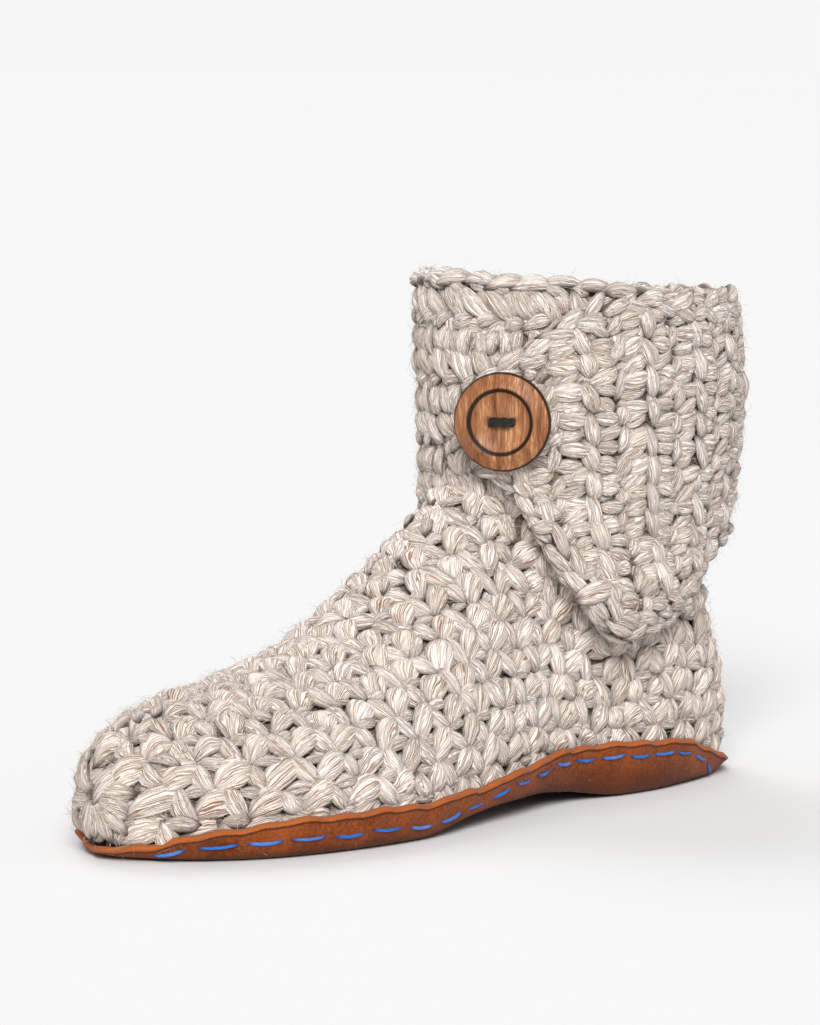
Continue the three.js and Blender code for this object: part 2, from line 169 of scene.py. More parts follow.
def outlineCurve():
    # closed centripetal curve through the outline's spots, and the share of it up to the heel
    spots = np.column_stack([np.array(outline["across"]) * boot["halfBall"],
                             -np.array(outline["along"]) * boot["length"]])
    t = np.linspace(0, 1, outline["samples"], endpoint=False)[:, None]
    runs = []
    for number in range(len(spots)):
        p0, p1, p2, p3 = [spots[(number + k) % len(spots)] for k in (-1, 0, 1, 2)]
        d0, d1, d2 = [math.sqrt(np.linalg.norm(b - a)) for a, b in ((p0, p1), (p1, p2), (p2, p3))]
        m1 = ((p1 - p0) / d0 - (p2 - p0) / (d0 + d1) + (p2 - p1) / d1) * d1
        m2 = ((p2 - p1) / d1 - (p3 - p1) / (d1 + d2) + (p3 - p2) / d2) * d1
        runs.append((2 * t**3 - 3 * t**2 + 1) * p1 + (t**3 - 2 * t**2 + t) * m1
                    + (3 * t**2 - 2 * t**3) * p2 + (t**3 - t**2) * m2)
    chords = np.linalg.norm(spots - np.roll(spots, -1, axis=0), axis=1)
    return np.concatenate(runs + [spots[:1]]), chords[:outline["heelSpot"]].sum() / chords.sum()


curvePoints, heelShare = outlineCurve()
curveLengths = runLengths(curvePoints)


def shareOf(u):
    # u runs round the foot: 0 at the toe, a half at the heel back, outer side first
    return 1 - np.abs(1 - 2 * (u % 1))


def outlineAt(u):
    # a point of the outline and the way out of it
    share = shareOf(u)
    place = np.where(u % 1 <= 0.5, heelShare * share, 1 - (1 - heelShare) * share)

    def at(where):
        return onLine((where % 1) * curveLengths[-1], curveLengths, curvePoints)

    way = unit(at(place + apart["share"]) - at(place - apart["share"]))
    flat = np.zeros(len(u))
    return np.column_stack([at(place), flat]), np.column_stack([way[:, 1], -way[:, 0], flat])


def liftAt(points):
    return valueAt(soleLift, "lift", np.clip(-points[:, 1] / boot["length"], 0, 1))


def edgeValue(column, u):
    return valueAt(soleEdge, column, shareOf(u))


def lipRise(u, out):
    return valueAt(edgeSection, "rise", edgeValue("reach", u) - out)


def soleOuter(u, out, rise):
    spot, way = outlineAt(u)
    points = spot + way * out[:, None]
    points[:, 2] = liftAt(points) + edgeValue("lip", u) * rise
    return points


def ankleAt(turn):
    return mix(boot["throat"], boot["ankleBack"], (1 - np.cos(turn)) / 2)


def collarAt(turn):
    return mix(boot["collarFront"], boot["collarBack"], (1 - np.cos(turn)) / 2)


def riseAt(turn, height):
    return (height - ankleAt(turn)) / (collarAt(turn) - ankleAt(turn))


def shaftPoint(turn, rise):
    front, back, half = [valueAt(shaftForm, column, rise) for column in ("front", "back", "half")]
    along = (front + back) / 2 + (front - back) / 2 * np.cos(turn)
    return np.column_stack([half * np.sin(turn), -along, mix(ankleAt(turn), collarAt(turn), rise)])


def turnOf(u):
    return fullTurn * (u - boot["throatShare"] / 2) / (1 - boot["throatShare"])


def ribTop(u):
    toThroat = np.minimum(shareOf(u) / boot["throatShare"], 1)
    along = mix(instep["along"][-1], instep["along"][0], toThroat ** boot["instepCrowding"])
    swing = mix(boot["instepSwing"], 0, toThroat) * boot["halfBall"]
    onInstep = np.column_stack([swing, -along * boot["length"], valueAt(instep, "height", along)])
    return np.where((shareOf(u) <= boot["throatShare"])[:, None], onInstep, shaftPoint(turnOf(u), 0))


def footRibs(u, steps):
    # ribs of the foot from the sole edge to the top, as points by arc length
    tuck = edgeValue("tuck", u)
    bottom = soleOuter(u, -tuck, lipRise(u, -tuck))
    bottom[:, 2] += boot["leather"] + 4 * boot["gap"]
    top = ribTop(u)
    bulge, spring, lean, fall = [valueAt(ribForm, column, shareOf(u)) for column in list(ribForm)[1:]]
    rise = top[:, 2] - bottom[:, 2]
    lower = bottom + outlineAt(u)[1] * bulge[:, None]
    lower[:, 2] += spring * rise
    upper = mix(top, np.column_stack([bottom[:, :2], top[:, 2]]), lean[:, None])
    upper[:, 2] -= fall * rise
    t = np.linspace(0, 1, boot["ribSamples"])[None, :, None]
    a, b, c, d = [points[:, None, :] for points in (bottom, lower, upper, top)]
    curves = a * (1 - t)**3 + 3 * b * t * (1 - t)**2 + 3 * c * t**2 * (1 - t) + d * t**3
    return [evenSteps(curve, steps) for curve in curves]


# Skin of the upper: ribs from the sole edge up, sampled finely for placing stitches
ribCount = 480
ribPlaces = np.arange(ribCount) / ribCount
footSteps = 40
pastRib = 4  # steps that a rib goes on past its end
slopeBelow = 2  # millimetres under a rib's end where its slope is still taken
footSkin = np.array(footRibs(ribPlaces, footSteps))
footLength = np.linalg.norm(np.diff(footSkin, axis=1), axis=2).sum(axis=1)


def footPoint(u, s):
    # a point of the foot at u round it and s millimetres up its rib, going on straight past its end
    place = (u % 1) * ribCount
    low = np.floor(place).astype(int) % ribCount
    points = []
    for rib in (low, (low + 1) % ribCount):
        level = np.clip(s / footLength[rib] * footSteps, 0, footSteps + pastRib)
        step = np.minimum(np.floor(level).astype(int), footSteps - 1)
        points.append(mix(footSkin[rib, step], footSkin[rib, step + 1], (level - step)[:, None]))
    return mix(points[0], points[1], (place % 1)[:, None])


def groundOf(point, ahead, up):
    # point, way along the row, way up and way out
    along = unit(ahead)
    out = unit(np.cross(along, up))
    return point, along, np.cross(out, along), out


def footGround(u, s):
    rib = np.floor((u % 1) * ribCount).astype(int) % ribCount
    level = np.minimum(s, footLength[rib] - slopeBelow)
    ahead = footPoint(u + apart["share"], level) - footPoint(u - apart["share"], level)
    up = footPoint(u, level + apart["level"]) - footPoint(u, level - apart["level"])
    return groundOf(footPoint(u, s), ahead, up)


def shaftGround(turn, height):
    rise = riseAt(turn, height)
    over = np.minimum(rise + apart["rise"], 1)
    ahead = shaftPoint(turn + apart["turn"], rise) - shaftPoint(turn - apart["turn"], rise)
    up = shaftPoint(turn, over) - shaftPoint(turn, over - 2 * apart["rise"])
    return groundOf(shaftPoint(turn, rise), ahead, up)


def flapPoint(turn, height):
    point = shaftPoint(turn, np.maximum(riseAt(turn, height), 0))
    outwards = shaftPoint(turn, 0.5) - shaftPoint(turn + np.pi, 0.5)
    outwards[:, 2] = 0
    lean = valueAt(flapForm, "flare", np.degrees(turn))
    point += unit(outwards) * (np.maximum(ankleAt(turn) - height, 0) * lean)[:, None]
    point[:, 2] = height
    return point


def flapGround(turn, height):
    ahead = flapPoint(turn + apart["turn"], height) - flapPoint(turn - apart["turn"], height)
    up = flapPoint(turn, height + apart["height"]) - flapPoint(turn, height - apart["height"])
    return groundOf(flapPoint(turn, height), ahead, up)


def flapSides(degrees, margin):
    # heights of its lower and upper side, a margin in from the edge
    return valueAt(flapForm, "low", degrees) + margin, valueAt(flapForm, "high", degrees) - margin


# Place of the form in the frame, from the sole's solid
rimPlaces = soleOuter(ribPlaces, edgeValue("reach", ribPlaces), 1)
soleLow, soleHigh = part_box("sole")
shiftAcross = (soleLow.x + soleHigh.x) / 2 / millimetre - (rimPlaces[:, 0].min() + rimPlaces[:, 0].max()) / 2
frameShift = np.array([shiftAcross, soleHigh.y / millimetre - rimPlaces[:, 1].max(), 0])


def toFrame(points):
    return (np.asarray(points, float) + frameShift) * millimetre


print("form set, shift", frameShift.round(2))


# Nodes and materials
class Wire:
    # an output of a node, for sums with numbers and other outputs
    def __init__(self, socket):
        self.socket = socket
        self.tree = socket.id_data

    def beside(self, name):
        return Wire(self.socket.node.outputs[name])

    def math(self, operation, other=0.0):
        return addNode(self.tree, "ShaderNodeMath", {"operation": operation}, i0=self, i1=other)

    def __add__(self, other):
        return self.math("ADD", other)

    def __sub__(self, other):
        return self.math("SUBTRACT", other)

    def __mul__(self, other):
        return self.math("MULTIPLY", other)


def fill(node, **inputs):
    # a socket by its name, or by i and its number, gets a value or a link
    for key, value in inputs.items():
        socket = node.inputs[int(key[1:]) if key[1:].isdigit() else key.replace("_", " ")]
        if isinstance(value, Wire):
            node.id_data.links.new(value.socket, socket)
        else:
            socket.default_value = value
    return node


def addNode(tree, kind, settings=None, output=0, **inputs):
    node = tree.nodes.new(kind)
    for key, value in (settings or {}).items():
        setattr(node, key, value)
    return Wire(fill(node, **inputs).outputs[output])


def newGroup(name, kind, inputs, outputs):
    tree = bpy.data.node_groups.new(name, kind + "NodeTree")
    for side, sockets in (("INPUT", inputs), ("OUTPUT", outputs)):
        for label, socketKind in sockets.items():
            tree.interface.new_socket(label, in_out=side, socket_type="NodeSocket" + socketKind)
    given = {socket.name: Wire(socket) for socket in tree.nodes.new("NodeGroupInput").outputs}
    return tree, given, tree.nodes.new("NodeGroupOutput")


def ramp(value, low, high, start=0.0, end=1.0):
    return addNode(value.tree, "ShaderNodeMapRange", {"interpolation_type": "SMOOTHSTEP"}, Value=value,
                   From_Min=low, From_Max=high, To_Min=start, To_Max=end)


def mixColor(factor, a, b):
    return addNode(factor.tree, "ShaderNodeMix", {"data_type": "RGBA"}, 2, i0=factor, i6=a, i7=b)


def noise(vector, scale, detail=2.0, rough=0.5):
    return addNode(vector.tree, "ShaderNodeTexNoise", output="Fac", Vector=vector, Scale=scale, Detail=detail,
                   Roughness=rough)


def mapped(vector, **inputs):
    return addNode(vector.tree, "ShaderNodeMapping", Vector=vector, **inputs)


def objectCoords(tree):
    return addNode(tree, "ShaderNodeTexCoord", output="Object")


def attribute(tree, name, output="Fac"):
    return addNode(tree, "ShaderNodeAttribute", {"attribute_name": name}, output)


def tint(*color):
    # screen colour to linear
    parts = [part / 255 for part in color]
    return *[part / 12.92 if part <= 0.04045 else ((part + 0.055) / 1.055) ** 2.4 for part in parts], 1


def newMaterial(name, **constants):
    material = bpy.data.materials.new(name)
    material.use_nodes = True
    return material, material.node_tree, fill(material.node_tree.nodes["Principled BSDF"], **constants)


def dress(shader, color, height, relief, strength):
    # relief in millimetres
    normal = addNode(color.tree, "ShaderNodeBump", Height=height, Distance=relief * millimetre,
                     Strength=strength)
    fill(shader, Base_Color=color, Normal=normal)


def buildSpunFibre():
    # fibres that run along a strand: uv x goes round it, uv y along it
    inputs = dict.fromkeys(("Strands", "Run", "Twist", "Wander"), "Float")
    inputs |= dict.fromkeys(("Crest", "Groove", "Deep"), "Color")
    tree, given, result = newGroup("spunFibre", "Shader", inputs, {"Color": "Color", "Height": "Float"})
    tone = attribute(tree, "tone")
    uv = addNode(tree, "ShaderNodeUVMap", {"uv_map": "UVMap"})
    around = addNode(tree, "ShaderNodeSeparateXYZ", Vector=uv)
    along = around.beside("Y")
    across = (around + along * given["Twist"]) * given["Strands"]
    run = along * given["Run"]
    shift = tone * 57.0  # each leaf shows another stretch of grain

    def grain(fineness, stretch, detail):
        place = addNode(tree, "ShaderNodeCombineXYZ", X=across * fineness, Y=run * stretch, Z=shift)
        return noise(place, 1.0, detail)

    wander = (grain(0.35, 1.0, 1.0) - 0.5) * given["Wander"]
    ridge = ((across + wander) * fullTurn).math("COSINE") * 0.5 + 0.5
    fine = grain(3.1, 1.8, 2.0)
    both = ridge * 0.26 + fine * 0.32 + grain(1.15, 0.9, 1.0) * 0.42
    weight = ramp(grain(0.55, 0.8, 0.0), 0.3, 0.68, 0.3, 1.0)  # some grooves are deep, others faint
    gap = ramp(both, 0.62, 0.36) * weight
    # painted shade: the leaf's sides, underside and ends darken towards Deep, as in the crevices between
    # stitches
    lift = ramp((around * fullTurn).math("COSINE") * -0.5 + 0.5, 0.02, 0.8)
    ends = ramp((along * math.pi).math("SINE"), 0.08, 0.62)
    fleck = ramp(fine, 0.46, 0.3) * 0.45
    # painted shade: the Groove colour darkens the gaps between the strands, where the bump also sinks them
    color = mixColor(gap.math("MAXIMUM", fleck), given["Crest"], given["Groove"])
    color = mixColor(lift * ends, given["Deep"], color)
    # tone varies at random from leaf to leaf, and near the toe it is also lowered as painted shade
    color = addNode(tree, "ShaderNodeHueSaturation", Color=color, Value=ramp(tone, 0, 1, 0.88, 1.06),
                    Saturation=ramp(tone, 0.2, 1, 1.15, 0.9))
    fill(result, Color=color, Height=both)
    return tree


spunFibre = buildSpunFibre()


def spunMaterial(name, look):
    material, tree, shader = newMaterial(name, Sheen_Roughness=0.5, **look["shader"])
    color = addNode(tree, "ShaderNodeGroup", {"node_tree": spunFibre}, **look["fibre"])
    dress(shader, color, color.beside("Height"), look["relief"], strength=0.9)
    return material


# Groove and Deep are painted shade, in the gaps between strands and in the crevices between stitches
woolLook = {
    "fibre": {"Strands": 34, "Run": 1.7, "Twist": 0.06, "Wander": 5.0, "Crest": tint(250, 239, 229),
              "Groove": tint(146, 114, 93), "Deep": tint(88, 64, 48)},
    "shader": {"Roughness": 0.95, "Sheen_Weight": 0.3, "Specular_IOR_Level": 0.1},
    "relief": 1.3,
}
blueLook = {
    "fibre": {"Strands": 8, "Run": 2.0, "Twist": 1.5, "Wander": 0.4, "Crest": tint(4, 118, 214),
              "Groove": tint(1, 68, 150), "Deep": tint(6, 48, 120)},
    "shader": {"Roughness": 0.6, "Sheen_Weight": 0.1, "Specular_IOR_Level": 0.4},
    "relief": 0.25,
}
wool = spunMaterial("oatmealWool", woolLook)
blueThread = spunMaterial("blueThread", blueLook)


def feltMaterial(name, look):
    # matted wool behind and under the stitches
    material, tree, shader = newMaterial(name, Roughness=0.95, Sheen_Weight=0.2, Specular_IOR_Level=0.1)
    place = objectCoords(tree)
    blend = noise(place, 160.0, 3.0) * 0.5 + noise(mapped(place, Scale=(1, 1, 3.5)), 900.0, 4.0, 0.7) * 0.5
    color = mixColor(ramp(blend, 0.38, 0.62), look["dark"], look["light"])
    dress(shader, color, blend, look["relief"], strength=0.8)
    return material


# painted shade: the wool behind the stitches is coloured dark, so the gaps between stitches read as shade
shadedBackLook = {"light": tint(150, 128, 110), "dark": tint(84, 65, 52), "relief": 1.2}
padLook = {"light": tint(205, 192, 176), "dark": tint(160, 140, 118), "relief": 0.8}
shadedWoolBack = feltMaterial("woolBehindStitches", shadedBackLook)
padFelt = feltMaterial("insoleFelt", padLook)
print("wool materials made")


# Objects
def newObject(name, vertices, faces, material=None, uvs=None, home=scene.collection):
    mesh = bpy.data.meshes.new(name)
    mesh.from_pydata([tuple(v) for v in vertices], [], faces)
    if material:
        mesh.materials.append(material)
    if uvs:
        layer = mesh.uv_layers.new(name="UVMap")
        for loop in mesh.loops:
            layer.data[loop.index].uv = uvs[loop.vertex_index]
    mesh.update()
    piece = bpy.data.objects.new(name, mesh)
    home.objects.link(piece)
    return piece


def freeze(piece):
    # modifiers become plain mesh
    graph = bpy.context.evaluated_depsgraph_get()
    mesh = bpy.data.meshes.new_from_object(piece.evaluated_get(graph), depsgraph=graph)
    old = piece.data
    piece.modifiers.clear()
    piece.data = mesh
    mesh.name = piece.name
    bpy.data.meshes.remove(old)
    return piece


def weld(piece, within, turnOut=False):
    work = bmesh.new()
    work.from_mesh(piece.data)
    bmesh.ops.remove_doubles(work, verts=work.verts, dist=within)
    bmesh.ops.dissolve_degenerate(work, edges=work.edges, dist=within / 10)
    if turnOut:
        bmesh.ops.recalc_face_normals(work, faces=work.faces)
    work.to_mesh(piece.data)
    work.free()


def gridFaces(rows, columns, ringOfRows=False, ringInRow=False, flip=False):
    # quads over rows of points; the rows may close into a ring, and so may the points in a row
    faces = []
    for row in range(rows - (not ringOfRows)):
        for column in range(columns - (not ringInRow)):
            corners = ((row, column), (row + 1, column), (row + 1, column + 1), (row, column + 1))
            face = [(r % rows) * columns + c % columns for r, c in corners]
            faces.append(face[:1] + face[:0:-1] if flip else face)
    return faces


def thicken(piece, thickness):
    wall = piece.modifiers.new("wall", "SOLIDIFY")
    wall.thickness = thickness * millimetre
    wall.offset = -1
    wall.use_even_offset = True
    return freeze(piece)


def setColumn(piece, name, kind, values):
    layer = piece.data.attributes.new(name, kind, "POINT")
    field = "vector" if kind == "FLOAT_VECTOR" else "value"
    layer.data.foreach_set(field, np.ravel(values).astype(np.int32 if kind == "INT" else float))


sheetWeld = 0.05  # millimetres


def sheetOf(name, rings, material, thickness, **columns):
    # rings of points from the middle out, made a sheet with a thickness; columns hold a value for each point
    points = toFrame(np.stack(rings, axis=1).reshape(-1, 3))
    piece = newObject(name, points, gridFaces(len(rings[0]), len(rings), ringOfRows=True), material)
    for key, values in columns.items():
        setColumn(piece, key, "FLOAT", values)
    weld(piece, sheetWeld * millimetre)
    return thicken(piece, thickness)


def finishPiece(piece, slot, *nodes):
    piece.data.polygons.foreach_set("use_smooth", np.ones(len(piece.data.polygons), bool))
    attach(piece, "root")
    if nodes:
        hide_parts(*nodes)
    print(piece.name + ":", len(piece.data.polygons), "faces")
    return piece


# Wool wall behind the stitches, open at the collar and underneath
wallBack = {"ribs": 120, "footSteps": 14, "shaftSteps": 16, "inset": 1.8, "top": 0.94, "weld": 0.2}


def makeWall():
    u = np.arange(wallBack["ribs"]) / wallBack["ribs"]
    foot = np.concatenate(footRibs(u, wallBack["footSteps"]))
    turns = turnOf(u[shareOf(u) >= boot["throatShare"] - 1e-6])
    rises = np.linspace(0, wallBack["top"], wallBack["shaftSteps"] + 1)
    shaft = np.concatenate([shaftPoint(turn, rises) for turn in turns])
    faces = gridFaces(len(u), wallBack["footSteps"] + 1, ringOfRows=True)
    above = gridFaces(len(turns), len(rises), ringOfRows=True)
    faces += [[n + len(foot) for n in face] for face in above]
    piece = newObject("wool_wall", toFrame(np.concatenate([foot, shaft])), faces, shadedWoolBack)
    weld(piece, wallBack["weld"] * millimetre)
    inset = piece.modifiers.new("inset", "DISPLACE")
    inset.strength = -wallBack["inset"] * millimetre
    inset.mid_level = 0
    return thicken(freeze(piece), boot["wall"] - wallBack["inset"])


woolWall = makeWall()


# Yarn leaves: one bight of yarn as it shows on the surface, placed in their hundreds
leafForm = {
    "sides": 9,
    "segments": 6,
    "tip": 0.012,
    "arch": 0.5,
    "deep": 0.58,  # of the width
    "crestShift": 0.6,  # of the shift along the surface
    "wobble": 1.0,
    "wobbleSize": 210.0,
    "plump": [0.72, 0.74, 0.74, 0.16],  # the last of each is a stitch of thread
    "bend": [0.0, -0.22, 0.22, 0.3],
    "belly": [1.0, 1.22, 0.82, 1.0],
}
leafShapes = bpy.data.collections.new("leafShapes")


def makeLeaf(name, plump, bend, belly):
    sides, segments = leafForm["sides"], leafForm["segments"]
    vertices, uvs = [], []
    for segment in range(segments + 1):
        v = segment / segments
        swell = math.sin(math.pi * min(max(v, leafForm["tip"]), 1 - leafForm["tip"]) ** belly) ** plump
        arch = math.sin(math.pi * v) - 1
        for side in range(sides + 1):
            angle = fullTurn * side / sides - math.pi / 2
            x = 0.5 * swell * math.cos(angle) + bend * (arch + 0.5)
            vertices.append((x, v - 0.5, 0.5 * swell * math.sin(angle) + arch * leafForm["arch"]))
            uvs.append((side / sides, v))
    newObject(name, vertices, gridFaces(segments + 1, sides + 1, flip=True), None, uvs, leafShapes)


for number, form in enumerate(zip(leafForm["plump"], leafForm["bend"], leafForm["belly"])):
    makeLeaf(f"leaf{number}", *form)


def buildYarnTree():
    # a leaf on each point, turned and sized by the point's own attributes
    inputs = {"Geometry": "Geometry", "Leaves": "Collection", "Wobble": "Float", "Wobble Size": "Float",
              "Material": "Material"}
    tree, given, result = newGroup("yarnLeaves", "Geometry", inputs, {"Geometry": "Geometry"})

    def named(name, kind="FLOAT_VECTOR"):
        return addNode(tree, "GeometryNodeInputNamedAttribute", {"data_type": kind}, "Attribute", Name=name)

    shapes = addNode(tree, "GeometryNodeCollectionInfo", Collection=given["Leaves"], Separate_Children=True,
                     Reset_Children=True)
    turned = addNode(tree, "FunctionNodeAxesToRotation", {"primary_axis": "Y", "secondary_axis": "Z"},
                     Primary_Axis=named("along"), Secondary_Axis=named("facing"))
    placed = addNode(tree, "GeometryNodeInstanceOnPoints", Points=given["Geometry"], Instance=shapes,
                     Pick_Instance=True, Instance_Index=named("shape", "INT"), Rotation=turned,
                     Scale=named("size"))
    real = addNode(tree, "GeometryNodeRealizeInstances", Geometry=placed)
    weave = addNode(tree, "ShaderNodeTexNoise", output="Color", Scale=given["Wobble Size"], Detail=1.0)
    centred = addNode(tree, "ShaderNodeVectorMath", {"operation": "SUBTRACT"}, i0=weave, i1=(0.5, 0.5, 0.5))
    offset = addNode(tree, "ShaderNodeVectorMath", {"operation": "SCALE"}, i0=centred, Scale=given["Wobble"])
    moved = addNode(tree, "GeometryNodeSetPosition", Geometry=real, Offset=offset)
    smooth = addNode(tree, "GeometryNodeSetShadeSmooth", Geometry=moved)
    dressed = addNode(tree, "GeometryNodeSetMaterial", Geometry=smooth, Material=given["Material"])
    fill(result, Geometry=dressed)
    return tree


yarnTree = buildYarnTree()


def addLeaves(leaves, ground, leaf, jitter):
    # ground is points with the ways along, up and out at each; leaf holds offsets and sizes in millimetres
    point, along, up, out = ground
    count = len(point)
    angle = np.radians(leaf["angle"] + rng.normal(0, jitter["turn"], count))[:, None]
    grow = 1 + rng.normal(0, jitter["grow"], (count, 2))
    width = leaf["width"] * grow[:, 0]
    depth = width * leaf.get("deep", leafForm["deep"])
    crestShift = rng.normal(0, jitter["shift"] * leafForm["crestShift"], count)
    crest = jitter["crest"] + leaf.get("out", 0) + crestShift
    shiftAlong = leaf.get("along", 0) + rng.normal(0, jitter["shift"], count)
    shiftUp = leaf.get("up", 0) + rng.normal(0, jitter["shift"], count)
    place = point + along * shiftAlong[:, None] + up * shiftUp[:, None]
    leaves.append({
        "place": place + out * (crest - depth / 2)[:, None],
        "along": along * np.cos(angle) + up * np.sin(angle),
        "facing": unit(out + rng.normal(0, jitter["tilt"], (count, 3))),
        "size": np.column_stack([width, leaf["length"] * grow[:, 1], depth]),
        "shape": np.full(count, leaf.get("shape", 0)),
        "tone": rng.random(count),
    })


def gathered(leaves):
    return {key: np.concatenate([group[key] for group in leaves]) for key in leaves[0]}


def buildLeaves(columns, name, shapes, material, wobble):
    piece = newObject(name, toFrame(columns["place"]), [], material)
    for key in ("along", "facing", "size"):
        setColumn(piece, key, "FLOAT_VECTOR", columns[key] * (millimetre if key == "size" else 1))
    setColumn(piece, "shape", "INT", columns["shape"])
    setColumn(piece, "tone", "FLOAT", columns["tone"])
    modifier = piece.modifiers.new("yarn", "NODES")
    modifier.node_group = yarnTree
    values = {"Leaves": shapes, "Wobble": wobble * millimetre, "Wobble Size": leafForm["wobbleSize"],
              "Material": material}
    for item in yarnTree.interface.items_tree:
        if item.in_out == "INPUT" and item.name in values:
            modifier[item.identifier] = values[item.name]
    return freeze(piece)


def rowsOf(**columns):
    # named columns as one dictionary for each row
    return [dict(zip(columns, row)) for row in zip(*columns.values())]


woolJitter = {"turn": 9, "shift": 0.55, "grow": 0.12, "tilt": 0.12, "crest": 2.0}
fillJitter = {"turn": 40, "shift": 0.4, "grow": 0.15, "tilt": 0.15, "crest": 0.2}
fillLeaf = {"angle": 30, "length": 12.0, "width": 5.6}


# Foot: rounds of stitches that run parallel to the sole and end on the instep line
footStitch = {
    "rowPitch": 8.3,
    "firstRow": 0.55,
    "widePitch": 17.0,  # length of a stitch in the lowest round at the toe
    "closePitch": 13.0,  # and from this round up, and from this far behind the toe
    "closeRow": 5,
    "closeFrom": (45, 120),
    "lean": 0.37,  # how far each round is set off from the last
    "pastTop": 1.5,
    "shortest": 14.0,
    "low": rowsOf(along=[-2.4, 5.6, 8.2], up=[0, -0.4, 3.6], out=[0.5, 0.1, -0.7], angle=[20, -46, 8],
                  length=[20, 12.5, 11.5], width=[8.6, 6.2, 4.6]),
    "high": rowsOf(along=[-2.3, 3.4, 5.6], up=[0, -0.1, 3.9], out=[0.5, 0.1, -0.8], angle=[54, -62, 5],
                   length=[13.6, 12.8, 9.6], width=[8.8, 6.6, 4.2], shape=[1, 2, 1]),
    "filler": 560,
    "fillRange": (0.08, 1),  # share of the rib's height
    "atTop": 0.16,  # of the filler, along the ankle and the instep line
    "topRange": (0.93, 1),
    "toeFiller": 70,
    "toeSpread": 0.035,
    "toeRange": (2, 30),
}
toeFan = {
    "height": 15.0,
    "clear": 11.5,  # the rounds keep this far off
    "from": -212,
    "to": 32,
    "count": 13,
    "reach": 0.46,  # of a leaf's length
    "lowest": 3,
    "beside": 0.004,
    "leaf": {"out": 0.4, "length": 15.5, "width": 6.0, "shape": 1},
}


def runsOf(valid):
    # stretches of true values round a loop, as index lists; a full loop is one list
    if valid.all():
        return [(np.arange(len(valid) + 1), True)]
    order = (np.arange(len(valid)) + np.argmin(valid)) % len(valid)
    cuts = np.flatnonzero(np.diff(valid[order].astype(int))) + 1
    return [(run, False) for run in np.split(order, cuts) if valid[run[0]]]


def footStitches():
    leaves = []
    fanMiddle = footPoint(np.zeros(1), toeFan["height"])
    near, far = fanMiddle[0, 1] + np.array(footStitch["closeFrom"])
    tops = footLength + footStitch["pastTop"]
    for row in range(math.ceil(tops.max() / footStitch["rowPitch"] - footStitch["firstRow"])):
        height = (row + footStitch["firstRow"]) * footStitch["rowPitch"]
        for indices, closed in runsOf(height < tops):
            u = np.unwrap(indices / ribCount, period=1)
            points = footPoint(u, height)
            if runLengths(points)[-1] < footStitch["shortest"]:
                continue
            behind = (points[:, 1] - near) / (far - near)
            closeness = np.clip(np.maximum(row / footStitch["closeRow"], behind), 0, 1)
            pitch = mix(footStitch["widePitch"], footStitch["closePitch"], closeness[1:])
            stitches = runLengths(points, pitch)
            count = max(1, round(stitches[-1]))
            start = (row * footStitch["lean"]) % 1 if closed else 0.5
            steps = (np.arange(count) + start) / count * stitches[-1]
            places = np.interp(steps, stitches, u)
            kept = np.linalg.norm(footPoint(places, height) - fanMiddle, axis=1) > toeFan["clear"]
            close = np.interp(steps, stitches, closeness)[kept]
            ground = footGround(places[kept], height)
            for low, high in zip(footStitch["low"], footStitch["high"]):
                leaf = high | {key: mix(low[key], high[key], close) for key in low}
                addLeaves(leaves, ground, leaf, woolJitter)
    atToe = rng.normal(0, footStitch["toeSpread"], footStitch["toeFiller"])
    height = rng.uniform(*footStitch["toeRange"], len(atToe))
    addLeaves(leaves, footGround(atToe, height), fillLeaf, fillJitter)
    u = rng.random(footStitch["filler"])
    ankle = rng.random(len(u)) < footStitch["atTop"]
    top, anywhere = [rng.uniform(*footStitch[key], len(u)) for key in ("topRange", "fillRange")]
    height = footLength[(u * ribCount).astype(int)] * np.where(ankle, top, anywhere)
    addLeaves(leaves, footGround(u, height), fillLeaf, fillJitter)
    return leaves


def toeStitches(leaves):
    # leaves that fan out from one spot over the toe's tip
    degrees = np.linspace(toeFan["from"], toeFan["to"], toeFan["count"])
    reach = toeFan["leaf"]["length"] * toeFan["reach"]
    beside = np.array([1, -1]) * toeFan["beside"]
    perTurn = runLengths(footPoint(beside, toeFan["height"]))[-1] / (beside[0] - beside[1])
    u = np.cos(np.radians(degrees)) * reach / perTurn
    height = np.maximum(toeFan["height"] + np.sin(np.radians(degrees)) * reach, toeFan["lowest"])
    addLeaves(leaves, footGround(u, height), toeFan["leaf"] | {"angle": degrees}, woolJitter)


footLeaves = footStitches()
toeStitches(footLeaves)


# Shaft: ribbed rows, each pair a band of long slanted leaves over a band of upright ones
shaftStitch = {
    "pitch": 8.0,
    "bandPitch": 18.6,
    "bandStep": 0.4,  # how far each band is set off from the last
    "firstBand": 10.5,  # below the collar
    "depth": 95,
    "insideDepth": 52,
    "pastAnkle": 1.5,
    "flapCover": 9.0,  # stitches this far under the flap are left out
    "coverTurn": 0.75,  # about the millimetres in a degree
    "samples": 721,
    "leaves": rowsOf(across=[0, 3.9, -2.2, 2.2, 0.6, 4], rise=[0, -5, -11.2, -11.4, 5.6, 1.2],
                     out=[0.3, -0.1, 0, 0, -0.8, -1], angle=[-54, 36, 80, 104, -22, -50],
                     length=[14.4, 9.2, 11.4, 11, 8.8, 13], width=[6, 4.8, 5.5, 5.3, 4.5, 5.6],
                     shape=[0, 1, 1, 2, 0, 0]),
    "filler": 820,
    "fillBelow": 9,
}


def underFlap(turn, height):
    degrees = np.degrees(turn) % 360
    reach = shaftStitch["flapCover"] / shaftStitch["coverTurn"]
    inTurn = (degrees > flapStart + reach) & (degrees < flapEnd - reach)
    low, high = flapSides(degrees, shaftStitch["flapCover"])
    return inTurn & (height > low) & (height < high)


